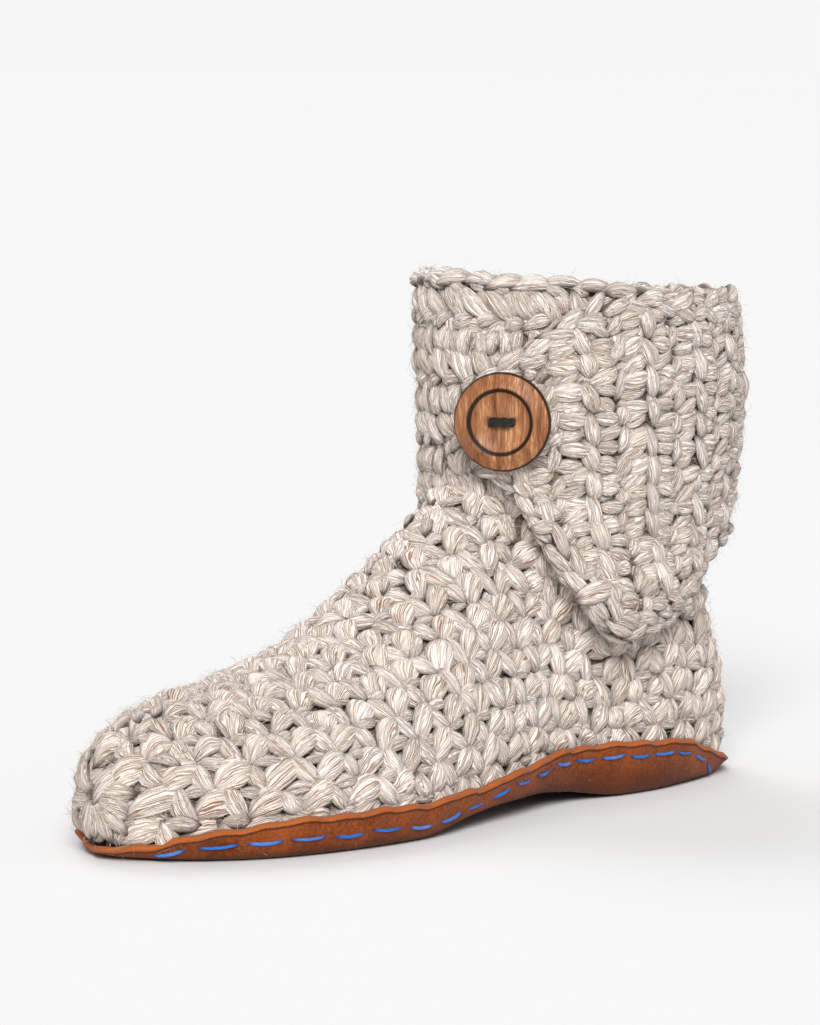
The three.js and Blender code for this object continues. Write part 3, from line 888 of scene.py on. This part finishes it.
def roundShaft(drop, pitch, step=0, shift=0):
    # turns at even steps round the shaft, at a drop below the collar
    fine = np.linspace(0, fullTurn, shaftStitch["samples"])
    lengths = runLengths(shaftPoint(fine, riseAt(fine, collarAt(fine) - drop)))
    count = round(lengths[-1] / pitch)
    places = (np.arange(count) + step) / count * lengths[-1] + shift
    return np.interp(places % lengths[-1], lengths, fine)


def shaftStitches(depth, inside=False):
    leaves = []
    for band, below in enumerate(np.arange(shaftStitch["firstBand"], depth, shaftStitch["bandPitch"])):
        for leaf in shaftStitch["leaves"]:
            drop = below - leaf["rise"]
            shift = (band * shaftStitch["bandStep"]) % 1 * shaftStitch["pitch"] + leaf["across"]
            turn = roundShaft(drop, shaftStitch["pitch"], 0, shift)
            height = collarAt(turn) - drop
            kept = height > ankleAt(turn) - shaftStitch["pastAnkle"]
            if not inside:
                kept &= ~underFlap(turn, height)
            point, along, up, out = shaftGround(turn[kept], height[kept])
            if inside:
                point, along, out = point - out * boot["wall"], -along, -out
            addLeaves(leaves, (point, along, up, out), leaf, woolJitter)
    if not inside:
        turn = rng.uniform(0, fullTurn, shaftStitch["filler"])
        height = mix(ankleAt(turn), collarAt(turn) - shaftStitch["fillBelow"], rng.random(len(turn)))
        seen = ~underFlap(turn, height)
        addLeaves(leaves, shaftGround(turn[seen], height[seen]), fillLeaf, fillJitter)
    return leaves


shaftLeaves = shaftStitches(shaftStitch["depth"])
insideLeaves = shaftStitches(shaftStitch["insideDepth"], inside=True)


# Collar: a braid of leaves along the rim, outer and inner
collarBraid = {
    "pitch": 9.0,
    "rows": rowsOf(step=[0, 0.5], inset=[1.2, 5.4], lean=[0.55, -0.8], drop=[2.6, 4.4]),
    "leaf": {"angle": 14, "length": 15.5, "width": 6.8},
}


def collarStitches(leaves):
    for row in collarBraid["rows"]:
        turn = roundShaft(0, collarBraid["pitch"], row["step"])
        point, along, up, out = shaftGround(turn, collarAt(turn) - row["drop"])
        facing = unit(out * row["lean"] + up)
        ground = (point - out * row["inset"], along, np.cross(facing, along), facing)
        addLeaves(leaves, ground, collarBraid["leaf"], woolJitter)


collarStitches(shaftLeaves)


# Flap: panel worked sideways, so that its rows stand upright, with a chain edge all round
flapStitch = {
    "face": 6.8,  # out from the shaft's skin to where the leaves sit
    "inside": 2.0,
    "period": 22.5,  # two rows
    "pitch": 8.8,
    "columnStep": 0.45,  # how far each pair of rows is set off from the last
    "heights": (50, 160),
    "margin": 3.0,
    "tipMargin": 1.5,  # past the end of a leaf
    "fillMargin": 7.0,
    "fillEnds": (4, 6),  # degrees in from the ends
    "first": 15.0,
    "slope": 0.14,  # how far the upright rows lean as they rise
    "slopeFrom": 117.5,  # height of the button
    "slack": 1.15,  # the middle line is this much longer on the face
    "leaves": rowsOf(across=[0, 5.4, 5.6, -6, -6.6, -11.4], rise=[0, -2.2, 2.2, 1.5, -3, 0.6],
                     out=[0.4, -0.2, -0.2, 0.1, -0.3, -0.5], angle=[-66, 4, -9, 12, 24, 74],
                     length=[13.5, 11, 10.4, 14.5, 12, 9.5], width=[5.8, 5.6, 5.4, 6.4, 5.4, 5]),
    "edge": rowsOf(step=[0, 0.5, 0.3, 0.8], face=[5.4, 6.9, 2.8, 2.2], inset=[1.3, 4.4, 1.4, 0.9],
                   fore=[1, 1, 0.6, -0.5], spread=[0.5, 0, 1, 1], angle=[9, -8, -6, 6],
                   length=[14, 13, 14, 13.5], width=[5, 4.8, 5.2, 5.4]),
    "edgePitch": 9.4,
    "underCollar": ([70, 100], [0, 4.5]),  # turn, and how far the edge stays below the collar
    "backEnd": 57,  # length of the edge down the back end
    "rimSteps": (200, 12, 30),  # along a side, round the tip and down the back end
    "rimShort": 6,  # steps left off the upper side at its back end
    "samples": 300,
    "filler": 460,
}


def flapFace(turn, face):
    # out from the shaft's skin; the flap thins out at its back end
    return (face - flapForm["thickness"][0] + valueAt(flapForm, "thickness", np.degrees(turn)))[:, None]


def addFlapLeaves(leaves, degrees, height, leaf, jitter):
    turn = np.radians(degrees)
    point, along, up, out = flapGround(turn, height)
    addLeaves(leaves, (point + out * flapFace(turn, flapStitch["face"]), along, up, out), leaf, jitter)


def flapStitches():
    leaves = []
    turns = np.linspace(flapStart, flapEnd, flapStitch["samples"])
    middle = flapPoint(np.radians(turns), sum(flapSides(turns, 0)) / 2)
    lengths = runLengths(middle[:, :2]) * flapStitch["slack"]
    lowest, highest = flapStitch["heights"]
    for column in range(-1, math.ceil(lengths[-1] / flapStitch["period"]) + 1):
        for leaf in flapStitch["leaves"]:
            across = flapStitch["first"] + column * flapStitch["period"] + leaf["across"]
            start = lowest + (column * flapStitch["columnStep"] % 1) * flapStitch["pitch"] + leaf["rise"]
            heights = np.arange(start, highest, flapStitch["pitch"])
            leaned = across - (heights - flapStitch["slopeFrom"]) * flapStitch["slope"]
            degrees = np.interp(leaned, lengths, turns)
            reach = abs(math.sin(math.radians(leaf["angle"]))) * leaf["length"] / 2
            low, high = flapSides(degrees, max(flapStitch["margin"], reach + flapStitch["tipMargin"]))
            kept = (heights > low) & (heights < high)
            kept &= (leaned > flapStitch["margin"]) & (leaned < lengths[-1])
            addFlapLeaves(leaves, degrees[kept], heights[kept], leaf, woolJitter)
    front, back = flapStitch["fillEnds"]
    degrees = rng.uniform(flapStart + front, flapEnd - back, flapStitch["filler"])
    low, high = flapSides(degrees, flapStitch["fillMargin"])
    addFlapLeaves(leaves, degrees, mix(low, high, rng.random(len(degrees))), fillLeaf, fillJitter)
    return leaves


def flapRim():
    # the edge down its back end, along its lower side, round the tip and back along its upper side
    side, tip, back = flapStitch["rimSteps"]
    turns = np.linspace(flapEnd, flapStart, side)
    low, high = [np.column_stack([turns, heights]) for heights in flapSides(turns, 0)]
    high = high[::-1][:-flapStitch["rimShort"]]
    high[:, 1] -= np.interp(high[:, 0], *flapStitch["underCollar"])
    tipSteps = np.linspace(low[-1], high[0], tip)[1:-1]
    backSteps = np.linspace(low[0] + (0, flapStitch["backEnd"]), low[0], back)[:-1]
    return np.concatenate([backSteps, low, tipSteps, high]) * (math.radians(1), 1)


def flapEdge(leaves):
    rim = flapRim()
    lengths = runLengths(flapPoint(*rim.T))
    count = round(lengths[-1] / flapStitch["edgePitch"])
    for leaf in flapStitch["edge"]:
        where = (np.arange(count) + leaf["step"]) / count * lengths[-1]
        behind, here, ahead = [onLine(where + step, lengths, rim).T for step in (-1, 0, 1)]
        point, *_, facing = flapGround(*here)
        way = unit(flapPoint(*ahead) - flapPoint(*behind))
        edgewards = unit(np.cross(facing, way))
        towards = unit(facing * leaf["fore"] + edgewards * leaf["spread"])
        place = point + facing * flapFace(here[0], leaf["face"]) - edgewards * leaf["inset"]
        addLeaves(leaves, (place, way, np.cross(towards, way), towards), leaf, woolJitter)


flapLeaves = flapStitches()
flapEdge(flapLeaves)

# painted shade: leaves near the toe get a lower tone, so the toe is darker where less light reaches it
toeShade = {"from": [0, 80], "tone": [0.3, 1]}  # millimetres behind the toe
yarnLeaves = {"foot": footLeaves, "shaft": shaftLeaves, "shaft_lining": insideLeaves, "flap": flapLeaves}
yarnColumns = {name: gathered(leaves) for name, leaves in yarnLeaves.items()}
for name, columns in yarnColumns.items():
    columns["fromToe"] = columns["place"][:, 1] + boot["length"]
    columns["tone"] *= np.interp(columns["fromToe"], toeShade["from"], toeShade["tone"])
    finishPiece(buildLeaves(columns, name + "_stitches", leafShapes, wool, leafForm["wobble"]), "wool")
finishPiece(woolWall, "wool", "upper")


# Loose fibres that stand off the yarn
fibre = {
    "pieces": {"foot": 7600, "shaft": 4600, "flap": 4400},
    "thin": 0.02,
    "taper": 0.6,
    "curl": 1.6,
    "sides": 3,
    "segments": 4,
    "bends": (0.25, -0.3, 0.45),
    "length": (1.5, 6.5),
    "sway": (1.5, 4.5),
    "lift": (0.2, 2.2),
    "spread": 55,
    "crest": 0.46,  # of a leaf's depth, out from its middle
    "slide": 0.3,  # of a leaf's length, to either side of its middle
    "wobble": 0.0,
    "tint": tint(236, 228, 218),
    "toe": {"from": [20, 130], "weight": [2.5, 1]},
}
hairShapes = bpy.data.collections.new("hairShapes")


def makeHair(name, bend):
    # a thin thread that lies along y, curved sideways and rising to its far end
    vertices = []
    for segment in range(fibre["segments"] + 1):
        v = segment / fibre["segments"]
        thin = fibre["thin"] * (1 - fibre["taper"] * v)
        for side in range(fibre["sides"]):
            angle = fullTurn * side / fibre["sides"]
            z = v ** fibre["curl"] + thin * math.sin(angle)
            vertices.append((bend * v * v + thin * math.cos(angle), v, z))
    faces = gridFaces(fibre["segments"] + 1, fibre["sides"], ringInRow=True, flip=True)
    newObject(name, vertices, faces, home=hairShapes)


for number, bend in enumerate(fibre["bends"]):
    makeHair(f"hair{number}", bend)


def hairsOn(columns, count):
    # hairs start on the crests of leaves and run much as the leaf does
    weight = np.interp(columns["fromToe"], fibre["toe"]["from"], fibre["toe"]["weight"])
    pick = rng.choice(len(weight), count, p=weight / weight.sum())
    place, along, facing, size = (columns[key][pick] for key in ("place", "along", "facing", "size"))
    slide = rng.uniform(-fibre["slide"], fibre["slide"], (count, 1))
    place = place + facing * size[:, 2:] * fibre["crest"] + along * (size[:, 1:2] * slide)
    angle = np.radians(rng.normal(0, fibre["spread"], count))[:, None]
    flip = rng.choice([-1.0, 1.0], count)[:, None]
    way = (along * np.cos(angle) + np.cross(along, facing) * np.sin(angle)) * flip
    sizes = [rng.uniform(*fibre[key], count) for key in ("sway", "length", "lift")]
    return {"place": place, "along": way, "facing": facing, "size": np.column_stack(sizes),
            "shape": rng.integers(0, len(fibre["bends"]), count), "tone": rng.random(count)}


def makeFibreMaterial():
    material, tree, shader = newMaterial("looseFibre", Roughness=0.7, Sheen_Weight=0.3,
                                         Specular_IOR_Level=0.3)
    tone = ramp(attribute(tree, "tone"), 0, 1)
    fill(shader, Base_Color=mixColor(tone, woolLook["fibre"]["Groove"], fibre["tint"]))
    return material


looseFibre = makeFibreMaterial()
for name, count in fibre["pieces"].items():
    hairs = hairsOn(yarnColumns[name], count)
    finishPiece(buildLeaves(hairs, name + "_fibres", hairShapes, looseFibre, fibre["wobble"]), "wool")


# Flap panel behind its stitches
flapPanel = {"columns": 60, "rows": 10, "frontIn": 2, "shrink": 2.5, "outer": 5.4, "behind": 1.6,
             "clear": 0.4}


def makeFlapPanel():
    columns, rows = flapPanel["columns"], flapPanel["rows"]
    degrees = np.repeat(np.linspace(flapStart + flapPanel["frontIn"], flapEnd, columns), rows)
    low, high = flapSides(degrees, flapPanel["shrink"])
    height = mix(low, high, np.tile(np.linspace(0, 1, rows), columns))
    point, *_, out = flapGround(np.radians(degrees), height)
    room = valueAt(flapForm, "thickness", degrees) + flapStitch["inside"] - flapPanel["behind"]
    points = point + out * np.minimum(flapPanel["outer"], room)[:, None]
    piece = newObject("flap_panel", toFrame(points), gridFaces(columns, rows), shadedWoolBack)
    return thicken(piece, flapPanel["outer"] - flapStitch["inside"] - flapPanel["clear"])


finishPiece(makeFlapPanel(), "wool", "cuff_flap")


# Sole: one sheet of suede, its edge turned up and puckered by the stitches
sole = {
    "ribs": 360,
    "inner": 5,
    "edge": 16,
    "crowding": 0.75,  # under 1 sets the rounds closer together at the cut
    "depth": 10,
    "pucker": 0.85,
    "waveCrowding": 6,  # over 1 keeps the waves near the cut
    "waveLift": 0.6,
    "waves": rowsOf(size=[0.6, 0.5, 0.3], count=[48, 21, 9], start=[1.3, 0.4, 0]),
    "calm": {"share": [0.76, 0.86], "wave": [1, 0.2]},
    "bigToe": {"side": [-0.22, -0.12, -0.03, 0.05], "low": [0, 0.35, 0.35, 0]},  # it presses the edge down
    "toeIn": 4,
}
# under and line are painted shade: on the edge's lower part, and in a crease just under the cut
suedeLook = {"nap": tint(150, 76, 32), "dark": tint(98, 46, 18), "edge": tint(178, 100, 50),
             "line": tint(60, 27, 14), "under": tint(74, 34, 15)}


def middleAt(u):
    middle = (outlineAt(u)[0] + outlineAt(1 - u)[0]) / 2
    middle[:, 1] = -mix(*boot["middleEnds"], np.clip(-middle[:, 1] / boot["length"], 0, 1)) * boot["length"]
    return middle


def edgePoint(u, share):
    # on the turned-up edge, share 0 where it leaves the flat and 1 at the cut
    inwards = sole["depth"] * (1 - share)
    wave = sum(row["size"] * np.sin(fullTurn * row["count"] * u + row["start"]) for row in sole["waves"])
    wave = wave * sole["pucker"] * share ** sole["waveCrowding"] * valueAt(sole["calm"], "wave", shareOf(u))
    side = np.where(u % 1 > 0.5, -shareOf(u), shareOf(u))
    low = valueAt(sole["bigToe"], "low", side)
    rise = valueAt(edgeSection, "rise", inwards) * (1 - low)
    points = soleOuter(u, edgeValue("reach", u) - inwards + wave - sole["toeIn"] * low * share, rise)
    points[:, 2] += wave * sole["waveLift"]
    return points


def makeSole(material):
    u = np.arange(sole["ribs"]) / sole["ribs"]
    middle, start = middleAt(u), edgePoint(u, 0)
    rings = [mix(middle, start, share) for share in np.arange(sole["inner"]) / sole["inner"]]
    for points in rings:
        points[:, 2] = liftAt(points)
    shares = (np.arange(sole["edge"] + 1) / sole["edge"]) ** sole["crowding"]
    rings += [edgePoint(u, share) for share in shares]
    gaps = np.linalg.norm(np.diff(np.stack(rings[::-1], axis=1), axis=1), axis=2)
    below = np.column_stack([np.zeros(len(u)), np.cumsum(gaps, axis=1)])[:, ::-1]  # millimetres under the cut
    return sheetOf("suede_sole", rings, material, boot["leather"], below=below)


def makeSuede():
    material, tree, shader = newMaterial("rustSuede", Roughness=0.9, Sheen_Weight=0.1, Sheen_Roughness=0.4,
                                         Specular_IOR_Level=0.15)
    place = objectCoords(tree)
    nap = noise(place, 950.0, 3.0, 0.75)
    pores = noise(place, 330.0, 2.0)
    below = attribute(tree, "below")
    shade = noise(place, 55.0, 4.0, 0.6) * 0.45 + nap * 0.55
    # painted shade: a dark line in the crease between the two layers just under the cut edge, also sunk in
    # the bump
    ragged = below + (pores - 0.5) * 0.7
    line = ramp(ragged, 0.8, 1.2) * ramp(ragged, 1.9, 1.4)
    color = mixColor(ramp(shade, 0.36, 0.64), suedeLook["dark"], suedeLook["nap"])
    # painted shade: darker towards the bottom of the turned-up edge, where it curves under away from the
    # light
    color = mixColor(ramp(below, 4.0, 13.0, 0, 0.75), color, suedeLook["under"])
    color = mixColor(line * 0.7, color, suedeLook["line"])
    color = mixColor(ramp(ragged, 1.0, 0.5, 0, 0.6), color, suedeLook["edge"])
    dress(shader, color, nap + pores * 0.8 - line, relief=0.4, strength=0.9)
    return material


finishPiece(makeSole(makeSuede()), "suede", "sole")


# Blue running stitch along the sole's edge
soleStitch = {
    "leaf": {"angle": 0, "width": 1.0, "deep": 1.0, "shape": 3},
    "length": 0.8,  # of the pitch
    "jitter": {"turn": 3, "shift": 0.2, "grow": 0.07, "tilt": 0.04, "crest": 0.8},
    "wobble": 0.1,
    "lowest": 1.2,
    "samples": 240,
    "trials": 25,
    "beside": (0.004, 0.05),  # half steps along the edge and up it, for slopes
}
stitchLine = {
    "share": [0, 0.05, 0.1, 0.2, 0.38, 0.45, 0.5, 0.6, 0.7, 0.8, 0.82, 0.845, 0.865, 1],
    "rise": [0.1, 0.3, 0.52, 0.49, 0.42, 0.47, 0.62, 0.7, 0.76, 0.7, 0.66, 0.4, 0.1, 0],  # of the edge
    "pitch": [13.7, 13.7, 13.7, 13.7, 13.2, 12.4, 11.6, 11.2, 11.2, 11.2, 11.2, 11.2, 11.2, 11.2],
}


def stitchShare(u):
    # where on the turned-up edge the stitch line runs
    trial = np.linspace(0, 1, soleStitch["trials"])
    heights = np.stack([edgePoint(u, share)[:, 2] for share in trial], axis=1)
    goal = mix(heights[:, 0], heights[:, -1], valueAt(stitchLine, "rise", shareOf(u)))
    return np.array([np.interp(level, row, trial) for level, row in zip(goal, heights)])


def stitchPoint(u, over=0):
    return edgePoint(u, stitchShare(u) + over)


def makeSoleStitches():
    fine = np.arange(soleStitch["samples"] + 1) / soleStitch["samples"]
    lengths = runLengths(stitchPoint(fine), valueAt(stitchLine, "pitch", shareOf(fine))[1:])
    count = round(lengths[-1])
    u = np.interp((np.arange(count) + 0.5) / count * lengths[-1], lengths, fine)
    u = u[stitchPoint(u)[:, 2] > soleStitch["lowest"]]
    onwards, over = soleStitch["beside"]
    ahead = stitchPoint(u + onwards) - stitchPoint(u - onwards)
    ground = groundOf(stitchPoint(u), ahead, stitchPoint(u, over) - stitchPoint(u, -over))
    leaf = soleStitch["leaf"] | {"length": soleStitch["length"] * valueAt(stitchLine, "pitch", shareOf(u))}
    leaves = []
    addLeaves(leaves, ground, leaf, soleStitch["jitter"])
    return buildLeaves(gathered(leaves), "sole_stitches", leafShapes, blueThread, soleStitch["wobble"])


finishPiece(makeSoleStitches(), "black_thread")


# Insole: a felted pad inside the wool
insole = {"ribs": 160, "inner": 8, "edgeGap": 0.9}


def makeInsole():
    u = np.arange(insole["ribs"]) / insole["ribs"]
    edge = -(edgeValue("tuck", u) + boot["wall"] + insole["edgeGap"])
    rim = soleOuter(u, edge, lipRise(u, edge))
    rings = [mix(middleAt(u), rim, share) for share in np.arange(insole["inner"] + 1) / insole["inner"]]
    for points in rings:
        points[:, 2] = liftAt(points) + (rim[:, 2] - liftAt(rim)) + boot["leather"] + boot["gap"]
    return sheetOf("felt_insole", rings, padFelt, boot["padding"])


feltInsole = finishPiece(makeInsole(), "wool_pad", "insole")


# Button: turned wood, dished, with a burnt groove and two holes
button = {
    "radius": [0, 3, 6, 8.2, 9, 9.5, 9.9, 10.35, 10.8, 11.5,
               12.6, 13.6, 14.3, 14.75, 15, 14.9, 14.4, 13.2, 6, 0],
    "height": [3.1, 3.2, 3.5, 4.1, 4.55, 4.95, 5.3, 5.6, 5.5, 5.2,
               4.5, 3.95, 3.5, 3, 2.2, 1.4, 0.7, 0, 0, 0],
    "sides": 96,
    "weld": 1e-3,
    "turn": 27,
    "at": 117.5,
    "swing": 7,
    "holeSpacing": 6,
    "holeRadius": 1.3,
    "drill": {"segments": 24, "depth": 12},
    "drillAt": 2,
    "burnt": (9.65, 0.85),
    "outerLine": (14.7, 0.4),
}
woodLook = {"pale": tint(192, 143, 101), "mid": tint(142, 90, 55), "dark": tint(94, 55, 32),
            "burnt": tint(16, 9, 6),
            "grain": {"Rotation": (0.1, 0.15, math.radians(-22)), "Scale": (1, 0.08, 0.4)}}


def buttonMatrix():
    points = flapPoint(np.radians(button["turn"] + np.arange(-1, 2)), button["at"])
    ahead = unit(points[2] - points[0])
    facing = np.array([ahead[1], -ahead[0], 0])
    seat = points[1] + facing * (2 * boot["rowRelief"] + flapForm["thickness"][0] + 4 * boot["gap"])
    basis = Matrix((Vector(ahead), Vector((0, 0, 1)), Vector(facing))).transposed().to_4x4()
    swing = Matrix.Rotation(-math.radians(button["swing"]), 4, "Z")
    return Matrix.Translation(toFrame(seat)) @ swing @ basis @ Matrix.Scale(millimetre, 4)


def makeButton(material):
    sides = button["sides"]
    turns = [fullTurn * side / sides for side in range(sides)]
    rings = zip(button["radius"], button["height"])
    vertices = [(r * math.cos(turn), r * math.sin(turn), z) for r, z in rings for turn in turns]
    faces = gridFaces(len(button["radius"]), sides, ringInRow=True)
    piece = newObject("wood_button", vertices, faces, material)
    weld(piece, button["weld"])
    drill = bmesh.new()
    for side in (-1, 1):
        place = Matrix.Translation((side * button["holeSpacing"] / 2, 0, button["drillAt"]))
        bmesh.ops.create_cone(drill, cap_ends=True, radius1=button["holeRadius"],
                              radius2=button["holeRadius"], matrix=place, **button["drill"])
    bits = newObject("drill", [], [])
    drill.to_mesh(bits.data)
    drill.free()
    cut = piece.modifiers.new("holes", "BOOLEAN")
    cut.object = bits
    cut.operation = "DIFFERENCE"
    freeze(piece)
    bpy.data.objects.remove(bits)
    points = np.array([vertex.co for vertex in piece.data.vertices])
    setColumn(piece, "turned", "FLOAT", np.linalg.norm(points[:, :2], axis=1))
    setColumn(piece, "grain", "FLOAT_VECTOR", points)
    piece.data.transform(buttonMatrix())
    return piece


def makeWood():
    material, tree, shader = newMaterial("oiledWood", Specular_IOR_Level=0.25, Coat_Weight=0.06,
                                         Coat_Roughness=0.3)
    leaned = mapped(attribute(tree, "grain", "Vector"), **woodLook["grain"])
    streaks = noise(leaned, 2.6, 3.0, 0.6)
    both = noise(leaned, 0.55, 3.0, 0.55) * 0.6 + streaks * 0.4
    color = mixColor(ramp(both, 0.34, 0.52), woodLook["dark"], woodLook["mid"])
    color = mixColor(ramp(both, 0.5, 0.66), color, woodLook["pale"])
    for place, width in (button["burnt"], button["outerLine"]):
        distance = (attribute(tree, "turned") - place).math("ABSOLUTE")
        color = mixColor(ramp(distance, width, width * 0.45, 0, 0.94), color, woodLook["burnt"])
    fill(shader, Roughness=ramp(streaks, 0.3, 0.7, 0.55, 0.4))
    dress(shader, color, streaks, relief=0.12, strength=0.5)
    return material


finishPiece(makeButton(makeWood()), "button_wood", "button")


# Black thread: a twisted bar across the dish, with legs through the holes
thread = {"radius": 1.0, "bar": 1.35, "plies": 4, "lobe": 0.16, "twist": 0.55, "sides": 24, "steps": 60,
          "top": 4.5, "leg": -0.8, "corner": 0.9, "rounding": 0.3, "swell": 1.5, "weld": 1e-4}
# Groove and Deep are painted shade, between the plies and on the thread's sides
blackLook = {
    "fibre": {"Strands": 12, "Run": 6.0, "Twist": 3.0, "Wander": 0.6, "Crest": tint(44, 38, 34),
              "Groove": tint(16, 13, 11), "Deep": tint(8, 7, 6)},
    "shader": {"Roughness": 0.7, "Sheen_Weight": 0.1, "Specular_IOR_Level": 0.3},
    "relief": 0.25,
}


def makeThread(material):
    reach, top, corner = button["holeSpacing"] / 2, thread["top"], thread["corner"]
    bevel = corner * thread["rounding"]
    side = [(reach, thread["leg"]), (reach, top - corner), (reach - bevel, top - bevel),
            (reach - corner, top)]
    corners = [(-x, 0, z) for x, z in side] + [(x, 0, z) for x, z in side[::-1]]
    path = evenSteps(np.array(corners, float), thread["steps"])
    across = np.array([0.0, 1.0, 0.0])
    vertices, uvs = [], []
    for step, (point, ahead) in enumerate(zip(path, unit(np.gradient(path, axis=0)))):
        over = np.cross(ahead, across)
        onBar = np.clip((point[2] - top) / thread["swell"] + 1, 0, 1)
        thick = mix(thread["radius"], thread["bar"], onBar)
        for number in range(thread["sides"] + 1):
            angle = fullTurn * number / thread["sides"]
            lobe = 1 + thread["lobe"] * math.cos(thread["plies"] * angle + thread["twist"] * step)
            vertices.append(point + (across * math.cos(angle) + over * math.sin(angle)) * thick * lobe)
            uvs.append((number / thread["sides"], step / thread["steps"]))
    columns = thread["sides"] + 1
    faces = gridFaces(thread["steps"] + 1, columns, flip=True)
    faces.append(list(range(columns - 1))[::-1])
    faces.append([thread["steps"] * columns + number for number in range(columns - 1)])
    piece = newObject("thread_bar", vertices, faces, material, uvs)
    weld(piece, thread["weld"], turnOut=True)
    piece.data.transform(buttonMatrix())
    return piece


finishPiece(makeThread(spunMaterial("blackThread", blackLook)), "black_thread", "button_thread")
for shapes in (leafShapes, hairShapes):
    for shape in list(shapes.objects):
        bpy.data.objects.remove(shape)
    bpy.data.collections.remove(shapes)


# Camera at the photograph's angle to the shoe, framed on the one shoe
view = {"turn": 43, "away": 1.35, "height": 0.229, "aim": (-0.0019, -0.0027, 0.0895), "lens": 158,
        "frameTall": 36}


def makeCamera():
    data = bpy.data.cameras.new("camera")
    data.sensor_fit = "VERTICAL"
    data.sensor_height = view["frameTall"]
    data.lens = view["lens"]
    camera = bpy.data.objects.new("camera", data)
    angle = math.radians(view["turn"])
    camera.location = (math.sin(angle) * view["away"], -math.cos(angle) * view["away"], view["height"])
    camera.rotation_euler = (Vector(view["aim"]) - camera.location).to_track_quat("-Z", "Y").to_euler()
    scene.collection.objects.link(camera)
    scene.camera = camera


# Wide pale floor and soft studio light from the front, with a weak one from behind on the left
studio = {"floor": 30.0, "pale": tint(229, 229, 229), "speck": (0.8, 0.8, 0.82, 1), "light": 0.41,
          "backdrop": 0.93}
lamps = [
    {"name": "front", "towards": (0.58, -0.62, 0.53), "power": 3.6, "spread": 26},
    {"name": "behindLeft", "towards": (-0.6, 0.25, 0.76), "power": 0.8, "spread": 30},
]


def makeFloor():
    material, tree, shader = newMaterial("paleFloor", Roughness=0.9, Specular_IOR_Level=0.1)
    speck = ramp(noise(objectCoords(tree), 3.0, 2.0), 0.3, 0.7, 0, 0.02)
    fill(shader, Base_Color=mixColor(speck, studio["pale"], studio["speck"]))
    reach = studio["floor"]
    corners = [(-reach, -reach, 0), (reach, -reach, 0), (reach, reach, 0), (-reach, reach, 0)]
    newObject("pale_floor", corners, [(0, 1, 2, 3)], material)


def makeLights():
    for lamp in lamps:
        data = bpy.data.lights.new(lamp["name"], "SUN")
        data.energy = lamp["power"]
        data.angle = math.radians(lamp["spread"])
        light = bpy.data.objects.new(lamp["name"], data)
        light.rotation_euler = (-Vector(lamp["towards"])).to_track_quat("-Z", "Y").to_euler()
        scene.collection.objects.link(light)
    world = bpy.data.worlds.new("studio")
    world.use_nodes = True
    seen = addNode(world.node_tree, "ShaderNodeLightPath", output="Is Camera Ray")
    strength = ramp(seen, 0, 1, studio["light"], studio["backdrop"])
    fill(world.node_tree.nodes["Background"], Color=(1, 1, 1, 1), Strength=strength)
    scene.world = world


makeCamera()
makeFloor()
makeLights()
scene.view_settings.view_transform = "Standard"
scene.view_settings.look = "None"
print("camera, floor and light set")
